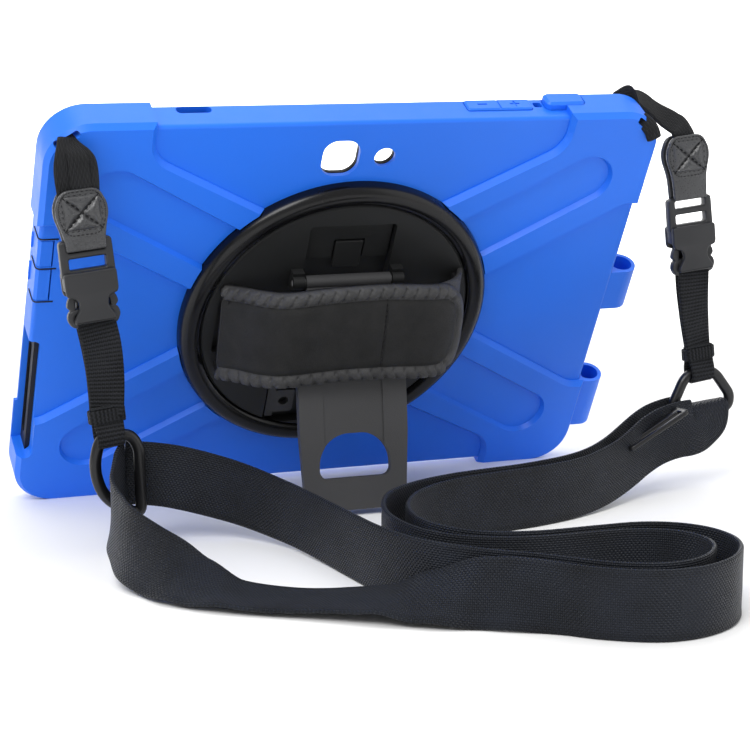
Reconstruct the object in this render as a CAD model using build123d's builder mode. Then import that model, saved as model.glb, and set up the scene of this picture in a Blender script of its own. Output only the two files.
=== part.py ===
"""Rugged tablet case with a turning kickstand, a hand strap and a shoulder strap. Millimetres, +Z up.

The case stands on its lower edge and on its open leg. Its back faces -Y and leans towards -Y at the top.
CASE is the plane of the case's back: local x runs across the case, local y up the case from its lower
edge, and local z straight out of the back. Pieces of the case are drawn on offsets of that plane.
"""

import os
from math import cos, radians, sin, tan

from build123d import *

os.makedirs("parts", exist_ok=True)

# ---- driving dimensions -------------------------------------------------------------------------
tablet_w = 245.0
tablet_h = 175.0
tablet_t = 8.3
tablet_clear = 0.3
tablet_corner_r = 10.0
shell_wall = 1.6
skin_side = 2.6
skin_end = 3.3
skin_back = 2.6
frame_t = 1.2
frame_border = 7.0
lip_t = 1.0
lip_w = 4.0
bumper_side = 1.4
bumper_end = 2.4
raise_h = 3.0
arm_slope = 38.0
pocket_w = 23.2
pocket_depth = 2.2
pocket_slope = 28.0
lean = 30.0
foot_cut = 1.9

disc_t = 90.7
ring_r = 66.5
ring_lip_r = 58.0
ring_top = 6.5
flange_r = 60.0
plate_gap = 0.4
plate_top = 5.0
plate_bottom = -1.5
spigot_w = 4.2
clear = 0.3

leg_pivot_t = 114.0
leg_pivot_h = 8.5
leg_open = 36.0
leg_w = 47.0
leg_foot_w = 43.0
leg_t = 3.2
pin_r = 1.5
pin_clear = 0.05
barrel_r = 3.0

strap_w = 25.0
strap_t = 1.6
webbing_w = 15.0
webbing_t = 1.8

# ---- sizes that follow from them ----------------------------------------------------------------
tray_w = tablet_w + 2 * (tablet_clear + shell_wall)
tray_h = tablet_h + 2 * (tablet_clear + shell_wall)
case_w = tray_w + 2 * skin_side
case_h = tray_h + 2 * skin_end
depth = skin_back + shell_wall + tablet_clear + tablet_t + frame_t + lip_t
tray_r = tablet_corner_r + tablet_clear + shell_wall
case_r = tray_r + skin_end
mid_t = case_h / 2
shell_back = -skin_back
cavity_back = shell_back - shell_wall
frame_back = -depth + lip_t + frame_t
out_w = case_w + 2 * bumper_side
out_h = case_h + 2 * bumper_end
out_r = case_r + bumper_end

# the model's origin lies under the middle of everything but the shoulder strap
shift_x = -22.8
shift_y = 44.7

a = radians(lean)
CASE = Plane(origin=(shift_x, shift_y, foot_cut), x_dir=(1, 0, 0), z_dir=(0, -cos(a), -sin(a)))
UP = Vector(0, -sin(a), cos(a))
OUT = Vector(0, -cos(a), -sin(a))


def case_point(s, t, h=0.0):
    """The point s across, t up and h out of the case's back."""
    return CASE.from_local_coords(Vector(s, t, h))


def on_case(s, t, h=0.0):
    """CASE moved so that its origin is at s, t, h."""
    return Plane(origin=case_point(s, t, h), x_dir=(1, 0, 0), z_dir=OUT)


def side_plane(s, sign):
    """A plane on the case's side: local x up the case, local z outwards, away from the middle."""
    return Plane(origin=case_point(s, 0, 0), x_dir=UP, z_dir=(sign, 0, 0))


def top_plane(t):
    """A plane on the case's top edge: local x across, local z up the case."""
    return Plane(origin=case_point(0, t, 0), x_dir=(1, 0, 0), z_dir=UP)


def section_plane(s, t):
    """The plane square to the case's height through s, t: local x across, local y out of the back."""
    return Plane(origin=case_point(s, t, 0), x_dir=(1, 0, 0), z_dir=-UP)


def save(part, label):
    part.label = label
    export_step(part, f"parts/{label}.step")


OUT_AXIS = Axis(case_point(0, 0, 0), OUT)
MID = on_case(0, mid_t)
DISC = on_case(0, disc_t)
disc_axis = Axis(case_point(0, disc_t, 0), OUT)

# ---- features that several pieces share ---------------------------------------------------------
camera_s, camera_t, camera_w, camera_h, camera_r = -9.7, 168.4, 15.5, 16.5, 6.0
lens_s, lens_t, lens_r = 8.9, 168.3, 4.4
rocker_s, rocker_l, rocker_w = 57.5, 28.5, 7.0
power_s, power_l, power_w = 86.0, 17.0, 8.0
button_h_mid = -9.5
button_travel = 0.8
gap_s, gap_l, gap_w = 74.8, 3.6, 3.4
speaker_s, speaker_l, speaker_w = -69.0, 14.0, 4.5
speaker_h = -11.0
flap_in = 6.0
jack_lo, jack_hi = 121.5, 133.5
usb_lo, usb_hi = 105.0, 119.8
flap_front = -depth + 2.2
slot_lo, slot_hi = 24.0, 84.0
slot_in = 4.6
slot_front = -11.5
pen_s, pen_h = case_w / 2 + 6.6, -7.0
pen_r = 5.0
pen_wall = 1.7
loop_lo, loop_hi = 84.0, 104.0
cup_lo, cup_hi, cup_floor = 16.0, 42.0, 3.0
corner_slot_l, corner_slot_w = 11.0, 2.6
corner_slot_out = 14.2
corner_slot_angle = 56.0
corner_s = tray_w / 2 - tray_r
corner_t = mid_t + tray_h / 2 - tray_r


def corner_slot_point(sign):
    """Middle of the strap slot in an upper corner, across and up the case."""
    s = sign * (corner_s + corner_slot_out * cos(radians(corner_slot_angle)))
    return s, corner_t + corner_slot_out * sin(radians(corner_slot_angle))


# ---- outer skin: silicone sleeve with four raised arms and corner bumpers -------------------------
arm_front = -depth + 2.0
pocket_over = 0.5
pen_web = 0.8
step_s, step_lo, bend_lo = 86.0, 79.8, 48.8
arm_top_in = (38.0, 53.0)
arm_low_in = (52.0, 7.0)
arm_low_out = 120.5
arm_root = 0.6
pocket_tip = (99.5, 63.5)
pocket_angle = 31.8
pocket_run = 62.0
pocket_floor_w = pocket_w - 2 * pocket_depth * tan(radians(pocket_slope))


def quarter_profile(sx, sy, h):
    """One arm with its corner bumper, drawn h out of the case's back."""
    with BuildSketch(MID.offset(h)) as quarter:
        with BuildLine():
            FilletPolyline(
                (sx * step_s, sy * out_h),
                (sx * step_s, sy * step_lo),
                (sx * arm_top_in[0], sy * arm_top_in[1]),
                (sx * arm_low_in[0], sy * arm_low_in[1]),
                (sx * arm_low_out, sy * bend_lo),
                (sx * out_w, sy * bend_lo),
                radius=[12, 0, 0, 9],
            )
            Polyline((sx * out_w, sy * bend_lo), (sx * out_w, sy * out_h), (sx * step_s, sy * out_h))
        make_face()
        RectangleRounded(out_w, out_h, out_r, mode=Mode.INTERSECT)
    return quarter.sketch


with BuildPart() as outer_skin:
    with BuildSketch(MID.offset(-depth)):
        RectangleRounded(case_w, case_h, case_r)
    extrude(amount=depth)
    fillet(outer_skin.faces().sort_by(OUT_AXIS)[0].edges(), 2.4)
    fillet(outer_skin.faces().sort_by(OUT_AXIS)[-1].edges(), 1.6)
    for sx in (-1, 1):
        for sy in (-1, 1):
            extrude(quarter_profile(sx, sy, arm_front), amount=arm_root - arm_front)
            extrude(quarter_profile(sx, sy, arm_root), amount=raise_h - arm_root, taper=arm_slope)
    # the pockets in the arms, open towards the disc
    for sx in (-1, 1):
        for sy in (-1, 1):
            turn = radians(pocket_angle)
            mid_run = pocket_run / 2
            centre = (sx * (pocket_tip[0] - mid_run * cos(turn)), sy * (pocket_tip[1] - mid_run * sin(turn)))
            with BuildSketch(MID.offset(raise_h - pocket_depth)):
                with Locations(centre):
                    SlotCenterToCenter(pocket_run, pocket_floor_w, rotation=sx * sy * pocket_angle)
            extrude(amount=pocket_depth + pocket_over, taper=-pocket_slope, mode=Mode.SUBTRACT)
    # seat and opening for the turning stand
    with BuildSketch(DISC):
        Circle(ring_r + 0.4)
    extrude(amount=raise_h + 1, mode=Mode.SUBTRACT)
    with BuildSketch(DISC.offset(-depth)):
        Circle(flange_r + plate_gap + spigot_w + clear)
    extrude(amount=depth + 1, mode=Mode.SUBTRACT)
    # room for the hard shell, the tablet and the front frame, and the opening over the screen
    with BuildSketch(MID.offset(-depth + lip_t)):
        RectangleRounded(tray_w, tray_h, tray_r)
    extrude(amount=depth - lip_t - skin_back, mode=Mode.SUBTRACT)
    with BuildSketch(MID.offset(-depth - 1)):
        RectangleRounded(tray_w - 2 * lip_w, tray_h - 2 * lip_w, tray_r - lip_w + 1)
    extrude(amount=depth - 1, mode=Mode.SUBTRACT)
    # camera openings
    with BuildSketch(CASE.offset(-depth)):
        with Locations((camera_s, camera_t)):
            RectangleRounded(camera_w, camera_h, camera_r)
        with Locations((lens_s, lens_t)):
            Circle(lens_r)
    extrude(amount=depth + 1, mode=Mode.SUBTRACT)
    # pen holder on the right-hand side
    for low, high in ((loop_lo, loop_hi), (cup_lo, cup_hi)):
        with BuildSketch(Plane(origin=case_point(pen_s, low, pen_h), x_dir=(1, 0, 0), z_dir=UP)):
            Circle(pen_r + pen_wall)
            with Locations((-(pen_r + pen_wall) / 2 - pen_web, 0)):
                Rectangle(pen_r + pen_wall + 2 * pen_web, 2 * (pen_r + pen_wall))
        extrude(amount=high - low)
    with BuildSketch(Plane(origin=case_point(pen_s, loop_lo - 1, pen_h), x_dir=(1, 0, 0), z_dir=UP)):
        Circle(pen_r)
    extrude(amount=loop_hi - loop_lo + 2, mode=Mode.SUBTRACT)
    with BuildSketch(Plane(origin=case_point(pen_s, cup_lo + cup_floor, pen_h), x_dir=(1, 0, 0), z_dir=UP)):
        Circle(pen_r)
    extrude(amount=cup_hi - cup_lo, mode=Mode.SUBTRACT)
    # openings in the top edge: speaker slot, button seats and the gap between the buttons
    with BuildSketch(top_plane(tray_h / 2 + mid_t - 1)):
        with Locations((speaker_s, -speaker_h)):
            RectangleRounded(speaker_l, speaker_w, 2)
        with Locations((gap_s, -button_h_mid)):
            RectangleRounded(gap_l, gap_w, 1)
        with Locations((rocker_s, -button_h_mid)):
            RectangleRounded(rocker_l + 2 * clear, rocker_w + 2 * clear, 1.5)
        with Locations((power_s, -button_h_mid)):
            RectangleRounded(power_l + 2 * clear, power_w + 2 * clear, 2.5)
    extrude(amount=20, mode=Mode.SUBTRACT)
    # seats of the two port flaps, through the left side and its back corner
    for low, high in ((jack_lo, jack_hi), (usb_lo, usb_hi)):
        with BuildSketch(CASE.offset(flap_front - clear)):
            with Locations((-case_w / 2 + flap_in / 2 - 3, (low + high) / 2)):
                Rectangle(flap_in + 6 + 2 * clear, high - low + 2 * clear)
        extrude(amount=depth, mode=Mode.SUBTRACT)
    # long opening for the keyboard connector, cut through the side and its back corner
    with BuildSketch(CASE.offset(slot_front)):
        with Locations((-case_w / 2 + slot_in / 2 - 3, (slot_lo + slot_hi) / 2)):
            RectangleRounded(slot_in + 6, slot_hi - slot_lo, 3)
    extrude(amount=depth + raise_h, mode=Mode.SUBTRACT)
    # strap slots through the two upper corners
    for sign in (-1, 1):
        with BuildSketch(CASE.offset(-depth - 1)):
            with Locations(corner_slot_point(sign)):
                SlotOverall(corner_slot_l, corner_slot_w, rotation=-sign * (90 - corner_slot_angle))
        extrude(amount=depth + raise_h + 2, mode=Mode.SUBTRACT)
    # the lower edge is flattened where it stands
    split(bisect_by=Plane.XY, keep=Keep.TOP)
save(outer_skin.part, "outer_skin")

# ---- hard shell: a tray inside the skin, open at the front -----------------------------------------
spigot_r = flange_r + plate_gap + spigot_w
screw_pcd = 2 * (spigot_r - spigot_w / 2)
screw_r = 0.9
screw_head_r = 1.7
screw_head_t = 0.9
screw_count = 6

with BuildPart() as back_shell:
    with BuildSketch(MID.offset(shell_back)):
        RectangleRounded(tray_w, tray_h, tray_r)
    extrude(amount=frame_back - shell_back)
    with BuildSketch(MID.offset(cavity_back)):
        RectangleRounded(tray_w - 2 * shell_wall, tray_h - 2 * shell_wall, tray_r - shell_wall)
    extrude(amount=frame_back - cavity_back, mode=Mode.SUBTRACT)
    with BuildSketch(CASE.offset(cavity_back)):
        with Locations((camera_s, camera_t)):
            RectangleRounded(camera_w, camera_h, camera_r)
        with Locations((lens_s, lens_t)):
            Circle(lens_r)
    extrude(amount=shell_wall, mode=Mode.SUBTRACT)
    with BuildSketch(DISC.offset(cavity_back)):
        with PolarLocations(screw_pcd / 2, screw_count):
            Circle(screw_r + 0.1)
    extrude(amount=shell_wall, mode=Mode.SUBTRACT)
    with BuildSketch(DISC.offset(cavity_back)):
        with PolarLocations(screw_pcd / 2, screw_count):
            Circle(screw_head_r + 0.1)
    extrude(amount=screw_head_t, mode=Mode.SUBTRACT)
    # openings in the side and top walls behind the skin's own
    with BuildSketch(side_plane(-tray_w / 2 - 1, 1)):
        with Locations(((slot_lo + slot_hi) / 2, (cavity_back + frame_back) / 2)):
            SlotOverall(slot_hi - slot_lo - 12, 5.0)
        with Locations(((jack_lo + jack_hi) / 2, (cavity_back + frame_back) / 2)):
            Circle(3.2)
        with Locations(((usb_lo + usb_hi) / 2, (cavity_back + frame_back) / 2)):
            SlotOverall(10.5, 4.6)
    extrude(amount=shell_wall + 2, mode=Mode.SUBTRACT)
    with BuildSketch(top_plane(mid_t + tray_h / 2 - shell_wall - 1)):
        with Locations((speaker_s, -speaker_h)):
            RectangleRounded(speaker_l - 2, speaker_w - 1, 1)
        with Locations((rocker_s, -button_h_mid)):
            RectangleRounded(rocker_l - 6, rocker_w - 2.4, 1)
        with Locations((power_s, -button_h_mid)):
            RectangleRounded(power_l - 5, power_w - 3.4, 1)
    extrude(amount=shell_wall + 2, mode=Mode.SUBTRACT)
save(back_shell.part, "back_shell")

with BuildPart() as front_frame:
    with BuildSketch(MID.offset(-depth + lip_t)):
        RectangleRounded(tray_w, tray_h, tray_r)
        RectangleRounded(
            tablet_w - 2 * frame_border, tablet_h - 2 * frame_border, 5, mode=Mode.SUBTRACT
        )
    extrude(amount=frame_t)
save(front_frame.part, "front_frame")

# ---- buttons in the top edge ---------------------------------------------------------------------
button_base = mid_t + tray_h / 2 + 0.2
rocker_top = case_h + 0.9
power_top = case_h + bumper_end + 0.9

with BuildPart() as volume_rocker:
    with BuildSketch(top_plane(button_base + button_travel)):
        with Locations((rocker_s, -button_h_mid)):
            RectangleRounded(rocker_l, rocker_w, 1.2)
    extrude(amount=rocker_top - button_base - button_travel)
    chamfer(volume_rocker.faces().sort_by(Axis(CASE.origin, UP))[-1].edges(), 0.6)
    with BuildSketch(top_plane(rocker_top)):
        with Locations((rocker_s, -button_h_mid)):
            Rectangle(0.8, rocker_w)
        with Locations((rocker_s - rocker_l / 4, -button_h_mid), (rocker_s + rocker_l / 4, -button_h_mid)):
            Rectangle(4, 0.8)
        with Locations((rocker_s + rocker_l / 4, -button_h_mid)):
            Rectangle(0.8, 4)
    extrude(amount=-0.4, mode=Mode.SUBTRACT)
    with BuildSketch(top_plane(button_base + button_travel)):
        with Locations((rocker_s, -button_h_mid)):
            RectangleRounded(rocker_l - 8, rocker_w - 3.6, 0.8)
    extrude(amount=-1.4)
save(volume_rocker.part, "volume_rocker")

with BuildPart() as power_button:
    with BuildSketch(top_plane(button_base + button_travel)):
        with Locations((power_s, -button_h_mid)):
            RectangleRounded(power_l, power_w, 2.2)
    extrude(amount=power_top - button_base - button_travel)
    chamfer(power_button.faces().sort_by(Axis(CASE.origin, UP))[-1].edges(), 1.0)
    with BuildSketch(top_plane(button_base + button_travel)):
        with Locations((power_s, -button_h_mid)):
            RectangleRounded(power_l - 7, power_w - 4.6, 0.8)
    extrude(amount=-1.4)
save(power_button.part, "power_button")

# ---- port flaps: an L of silicone that swings about its edge on the back -------------------------------
flap_wall = skin_side - 0.3


def port_flap(low, high, plug_l, plug_w):
    section = section_plane(0, low)
    side = -case_w / 2
    hinge = side + flap_in
    with BuildPart() as flap:
        with BuildSketch(section):
            with BuildLine():
                Polyline(
                    (hinge - 0.3, 0),
                    (side + 1.2, 0),
                    (side, -1.2),
                    (side, flap_front),
                    (side + flap_wall, flap_front),
                    (side + flap_wall, -flap_wall),
                    (hinge - 0.3, -flap_wall),
                    close=True,
                )
            make_face()
        extrude(amount=-(high - low))
        with BuildSketch(side_plane(side + flap_wall, 1)):
            with Locations(((low + high) / 2, (cavity_back + frame_back) / 2)):
                SlotOverall(plug_l, plug_w)
        extrude(amount=1.4)
        with BuildSketch(side_plane(side + 1.0, 1)):
            with Locations(((low + high) / 2, flap_front + 2.5)):
                SlotOverall((high - low) * 0.6, 1.6)
        extrude(amount=-1.6)
    return flap.part


save(port_flap(jack_lo, jack_hi, 5.2, 5.0), "jack_flap")
save(port_flap(usb_lo, usb_hi, 9.0, 3.4), "usb_flap")

# ---- the turning stand: ring, turntable, washer and screws -------------------------------------------
section = section_plane(0, disc_t)
lip_under = 3.8
flange_top = lip_under - clear
flange_low = 1.2

with BuildPart() as retaining_ring:
    with BuildSketch(section):
        with BuildLine():
            well = flange_r + plate_gap
            Polyline(
                (ring_r - 3.2, ring_top),
                (ring_lip_r + 2.4, ring_top),
                (ring_lip_r, plate_top + 0.2),
                (ring_lip_r, lip_under),
                (well, lip_under),
                (well, shell_back),
                (spigot_r, shell_back),
                (spigot_r, 0),
                (ring_r, 0),
                (ring_r, ring_top - 3.2),
            )
            RadiusArc((ring_r, ring_top - 3.2), (ring_r - 3.2, ring_top), -3.2)
        make_face()
    revolve(axis=disc_axis)
    with BuildSketch(DISC.offset(shell_back)):
        with PolarLocations(screw_pcd / 2, screw_count):
            Circle(screw_r)
    extrude(amount=5.2, mode=Mode.SUBTRACT)
save(retaining_ring.part, "retaining_ring")

with BuildPart() as ring_screws:
    with BuildSketch(DISC.offset(cavity_back)):
        with PolarLocations(screw_pcd / 2, screw_count):
            Circle(screw_head_r)
    extrude(amount=screw_head_t)
    with BuildSketch(DISC.offset(cavity_back)):
        with PolarLocations(screw_pcd / 2, screw_count):
            Circle(screw_r)
    extrude(amount=shell_wall + 4.5)
    with BuildSketch(DISC.offset(cavity_back)):
        with PolarLocations(screw_pcd / 2, screw_count):
            Rectangle(1.8, 0.45)
            Rectangle(0.45, 1.8)
    extrude(amount=0.5, mode=Mode.SUBTRACT)
save(ring_screws.part, "ring_screws")

washer_in, washer_out = 38.0, 50.0
with BuildPart() as friction_washer:
    with BuildSketch(DISC.offset(shell_back)):
        Circle(washer_out)
        Circle(washer_in, mode=Mode.SUBTRACT)
    extrude(amount=plate_bottom - shell_back - 0.1)
save(friction_washer.part, "friction_washer")

recess_w, recess_lo, recess_hi = 37.0, 103.0, 139.0
recess_floor = 0.6
catch_lo, catch_hi = 36.0, 56.0
lug_w = 5.0
lug_gap = 0.4
bar_w, bar_h = 2.6, 44.0
bar_s = 49.0
strap_slot_w = 6.4

with BuildPart() as turntable:
    with BuildSketch(DISC.offset(plate_bottom)):
        Circle(ring_lip_r - plate_gap)
    extrude(amount=plate_top - plate_bottom)
    with BuildSketch(DISC.offset(flange_low)):
        Circle(flange_r)
    extrude(amount=flange_top - flange_low)
    chamfer(turntable.faces().sort_by(OUT_AXIS)[-1].edges(), 0.6)
    # recess above the leg's pivot, and the smaller one for the catch beside the leg
    with BuildSketch(CASE.offset(plate_top)):
        with Locations((0, (recess_lo + recess_hi) / 2)):
            RectangleRounded(recess_w, recess_hi - recess_lo, 1.5)
        with Locations((-leg_w / 2 + 8, (catch_lo + catch_hi) / 2)):
            RectangleRounded(18, catch_hi - catch_lo, 1.5)
    extrude(amount=recess_floor - plate_top, mode=Mode.SUBTRACT)
    # lugs that carry the leg's pin
    for side in (-1, 1):
        with BuildSketch(side_plane(side * (recess_w / 2 + lug_gap), side)):
            with Locations((leg_pivot_t, leg_pivot_h * side)):
                Circle(barrel_r)
            with Locations((leg_pivot_t, leg_pivot_h * side / 2)):
                Rectangle(2 * barrel_r + 3, leg_pivot_h)
        extrude(amount=lug_w)
    with BuildSketch(side_plane(-recess_w, 1)):
        with Locations((leg_pivot_t, leg_pivot_h)):
            Circle(pin_r)
    extrude(amount=2 * recess_w, mode=Mode.SUBTRACT)
    # slots under the two bars that hold the hand strap
    with BuildSketch(DISC.offset(plate_top)):
        with Locations((-bar_s, 0), (bar_s, 0)):
            RectangleRounded(strap_slot_w, bar_h - 16, 2)
    extrude(amount=-4.0, mode=Mode.SUBTRACT)
save(turntable.part, "turntable")

# ---- the leg, its pin, the leaf spring over its barrel and the catch beside it ------------------------
pivot = case_point(0, leg_pivot_t, leg_pivot_h)
leg_angle = radians(leg_open - lean)
leg_length = pivot.Z / cos(leg_angle)
leg_out = Vector(0, -cos(leg_angle), sin(leg_angle))
LEG = Plane(origin=pivot, x_dir=(1, 0, 0), z_dir=leg_out)
barrel_l = recess_w - 0.6
hole_top, hole_bottom = leg_length - 34.3, leg_length - 16.0
hole_w, hole_arch_r, hole_corner_r = 31.0, 13.0, 3.5
notch_w, notch_h = 26.0, 2.6

with BuildPart() as kickstand_leg:
    with BuildSketch(LEG.offset(-leg_t / 2)):
        with BuildLine():
            FilletPolyline(
                (-barrel_l / 2, -1),
                (barrel_l / 2, -1),
                (barrel_l / 2, -10),
                (leg_w / 2, -18),
                (leg_w / 2, -leg_length + 34),
                (leg_foot_w / 2, -leg_length),
                (-leg_foot_w / 2, -leg_length),
                (-leg_w / 2, -leg_length + 34),
                (-leg_w / 2, -18),
                (-barrel_l / 2, -10),
                close=True,
                radius=[0, 0, 3, 4, 20, 2.5, 2.5, 20, 4, 3],
            )
        make_face()
        with BuildLine():
            FilletPolyline(
                (-hole_w / 2, -hole_top),
                (hole_w / 2, -hole_top),
                (hole_w / 2, -hole_bottom),
                (-hole_w / 2, -hole_bottom),
                close=True,
                radius=[hole_arch_r, hole_arch_r, hole_corner_r, hole_corner_r],
            )
        make_face(mode=Mode.SUBTRACT)
        with Locations((0, -leg_length)):
            SlotOverall(notch_w, 2 * notch_h, mode=Mode.SUBTRACT)
    extrude(amount=leg_t)
    with BuildSketch(Plane(origin=pivot - Vector(barrel_l / 2, 0, 0), x_dir=(0, 1, 0), z_dir=(1, 0, 0))):
        Circle(barrel_r - 0.2)
    extrude(amount=barrel_l)
    with BuildSketch(Plane(origin=pivot - Vector(barrel_l, 0, 0), x_dir=(0, 1, 0), z_dir=(1, 0, 0))):
        Circle(pin_r + pin_clear)
    extrude(amount=2 * barrel_l, mode=Mode.SUBTRACT)
    # two raised ribs and the shallow panel between them
    with BuildSketch(LEG.offset(leg_t / 2)):
        with Locations((0, -leg_length / 2 - 4)):
            RectangleRounded(26, leg_length - 56, 3)
    extrude(amount=-0.5, mode=Mode.SUBTRACT)
    split(bisect_by=Plane.XY, keep=Keep.TOP)
save(kickstand_leg.part, "kickstand_leg")

pin_half = recess_w / 2 + lug_w
with BuildPart() as leg_pin:
    with BuildSketch(Plane(origin=pivot - Vector(pin_half, 0, 0), x_dir=(0, 1, 0), z_dir=(1, 0, 0))):
        Circle(pin_r)
    extrude(amount=2 * pin_half)
save(leg_pin.part, "leg_pin")

panel_lo = leg_pivot_t + barrel_r + 1.0
with BuildPart() as leaf_spring:
    with BuildSketch(CASE.offset(recess_floor)):
        with Locations((0, (panel_lo + recess_hi) / 2 - 0.4)):
            RectangleRounded(recess_w - 4.0, recess_hi - panel_lo - 3.0, 1)
    extrude(amount=1.4)
    with BuildSketch(CASE.offset(recess_floor + 1.4)):
        with Locations((-2, panel_lo + 6.5)):
            RectangleRounded(14, 9, 1.5)
        with Locations((-2, panel_lo + 11.5)):
            Rectangle(6, 5)
    extrude(amount=1.2)
save(leaf_spring.part, "leaf_spring")

with BuildPart() as leg_catch:
    with BuildSketch(CASE.offset(recess_floor)):
        with Locations((-leg_w / 2 + 8, (catch_lo + catch_hi) / 2)):
            RectangleRounded(9, 12, 1.5)
            Circle(2.2, mode=Mode.SUBTRACT)
        with Locations((-leg_w / 2 + 2.2, (catch_lo + catch_hi) / 2)):
            Rectangle(3.5, 16)
    extrude(amount=2.4)
save(leg_catch.part, "leg_catch")

# ---- hand strap and the bars that hold its ends ---------------------------------------------------------
bar_h_out = plate_top + 3.2
for side, label in ((-1, "strap_bar_left"), (1, "strap_bar_right")):
    with BuildPart() as bar:
        with BuildSketch(on_case(side * bar_s, disc_t, bar_h_out)):
            RectangleRounded(bar_w, bar_h, 1.2)
        extrude(amount=bar_w)
        for end in (-1, 1):
            with BuildSketch(on_case(side * bar_s, disc_t + end * (bar_h / 2 - 2), plate_top)):
                RectangleRounded(bar_w, 4, 0.8)
            extrude(amount=bar_h_out - plate_top + 1)
    save(bar.part, label)

hand_w, hand_t = 42.0, 3.4
hand_tilt = 12.0
hand_top_t, hand_top_h = 104.5, 32.0
hand_end = 45.5
hand_drop = 18.5
hand_flat = 29.0
across = radians(hand_tilt)
hand_dir = UP * cos(across) - OUT * sin(across)
hand_up = UP * sin(across) + OUT * cos(across)
hand_foot = case_point(0, hand_top_t, hand_top_h) - hand_dir * (hand_w / 2)
HAND = Plane(origin=hand_foot, x_dir=(1, 0, 0), z_dir=hand_dir)
hand_sign = HAND.y_dir.dot(hand_up)

with BuildPart() as hand_strap:
    with BuildSketch(HAND):
        with BuildLine():
            FilletPolyline(
                (-hand_end, -hand_sign * hand_drop),
                (-hand_flat, 0),
                (hand_flat, 0),
                (hand_end, -hand_sign * hand_drop),
                radius=12,
            )
        trace(line_width=hand_t)
    extrude(amount=hand_w)
save(hand_strap.part, "hand_strap")

# ---- the two hanging strap ends: elastic, leather patch, buckle, webbing, keeper, ring -----------------
chain_tilt = 6.0
patch_w, patch_h, patch_t = 20.7, 16.5, 2.4
tongue_w = 15.5
buckle_w, buckle_h, buckle_t = 22.4, 23.5, 9.0
buckle_wall = 1.5
male_h = 8.0
prong_l = 17.0
webbing_len = 28.0
keeper_w, keeper_h, keeper_t = 12.4, 13.0, 5.0
fold_x, fold_w, fold_bite = 2.0, 5.0, 0.6
ring_wire = 4.6
# centre lines of the two rings: the left hangs with its straight bar upright, the right with it below
left_ring_line = [(-3.5, 0), (8, 0), (11.2, -5), (12, -32), (-2.5, -24.5), (-5.5, -12)]
right_ring_line = [(-6.5, 0), (6.5, 0), (14, -12.5), (12.5, -17.6), (-12.5, -17.6), (-14, -12.5)]
ring_bend = 3.0


def chain_plane(origin):
    """Local x across the hanging strap, local y up it, local z out towards -Y."""
    lean_x = radians(chain_tilt)
    return Plane(origin=origin, x_dir=(cos(lean_x), 0, sin(lean_x)), z_dir=(0, -1, 0))


def moved_plane(plane, x, y, z):
    return Plane(origin=plane.from_local_coords(Vector(x, y, z)), x_dir=plane.x_dir, z_dir=plane.z_dir)


def fold_plane(plane, x, y):
    """The plane square to a hanging strap's width, for the fold round the ring's bar."""
    return Plane(origin=plane.from_local_coords((x, y, 0)), x_dir=plane.y_dir, z_dir=plane.x_dir)


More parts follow.
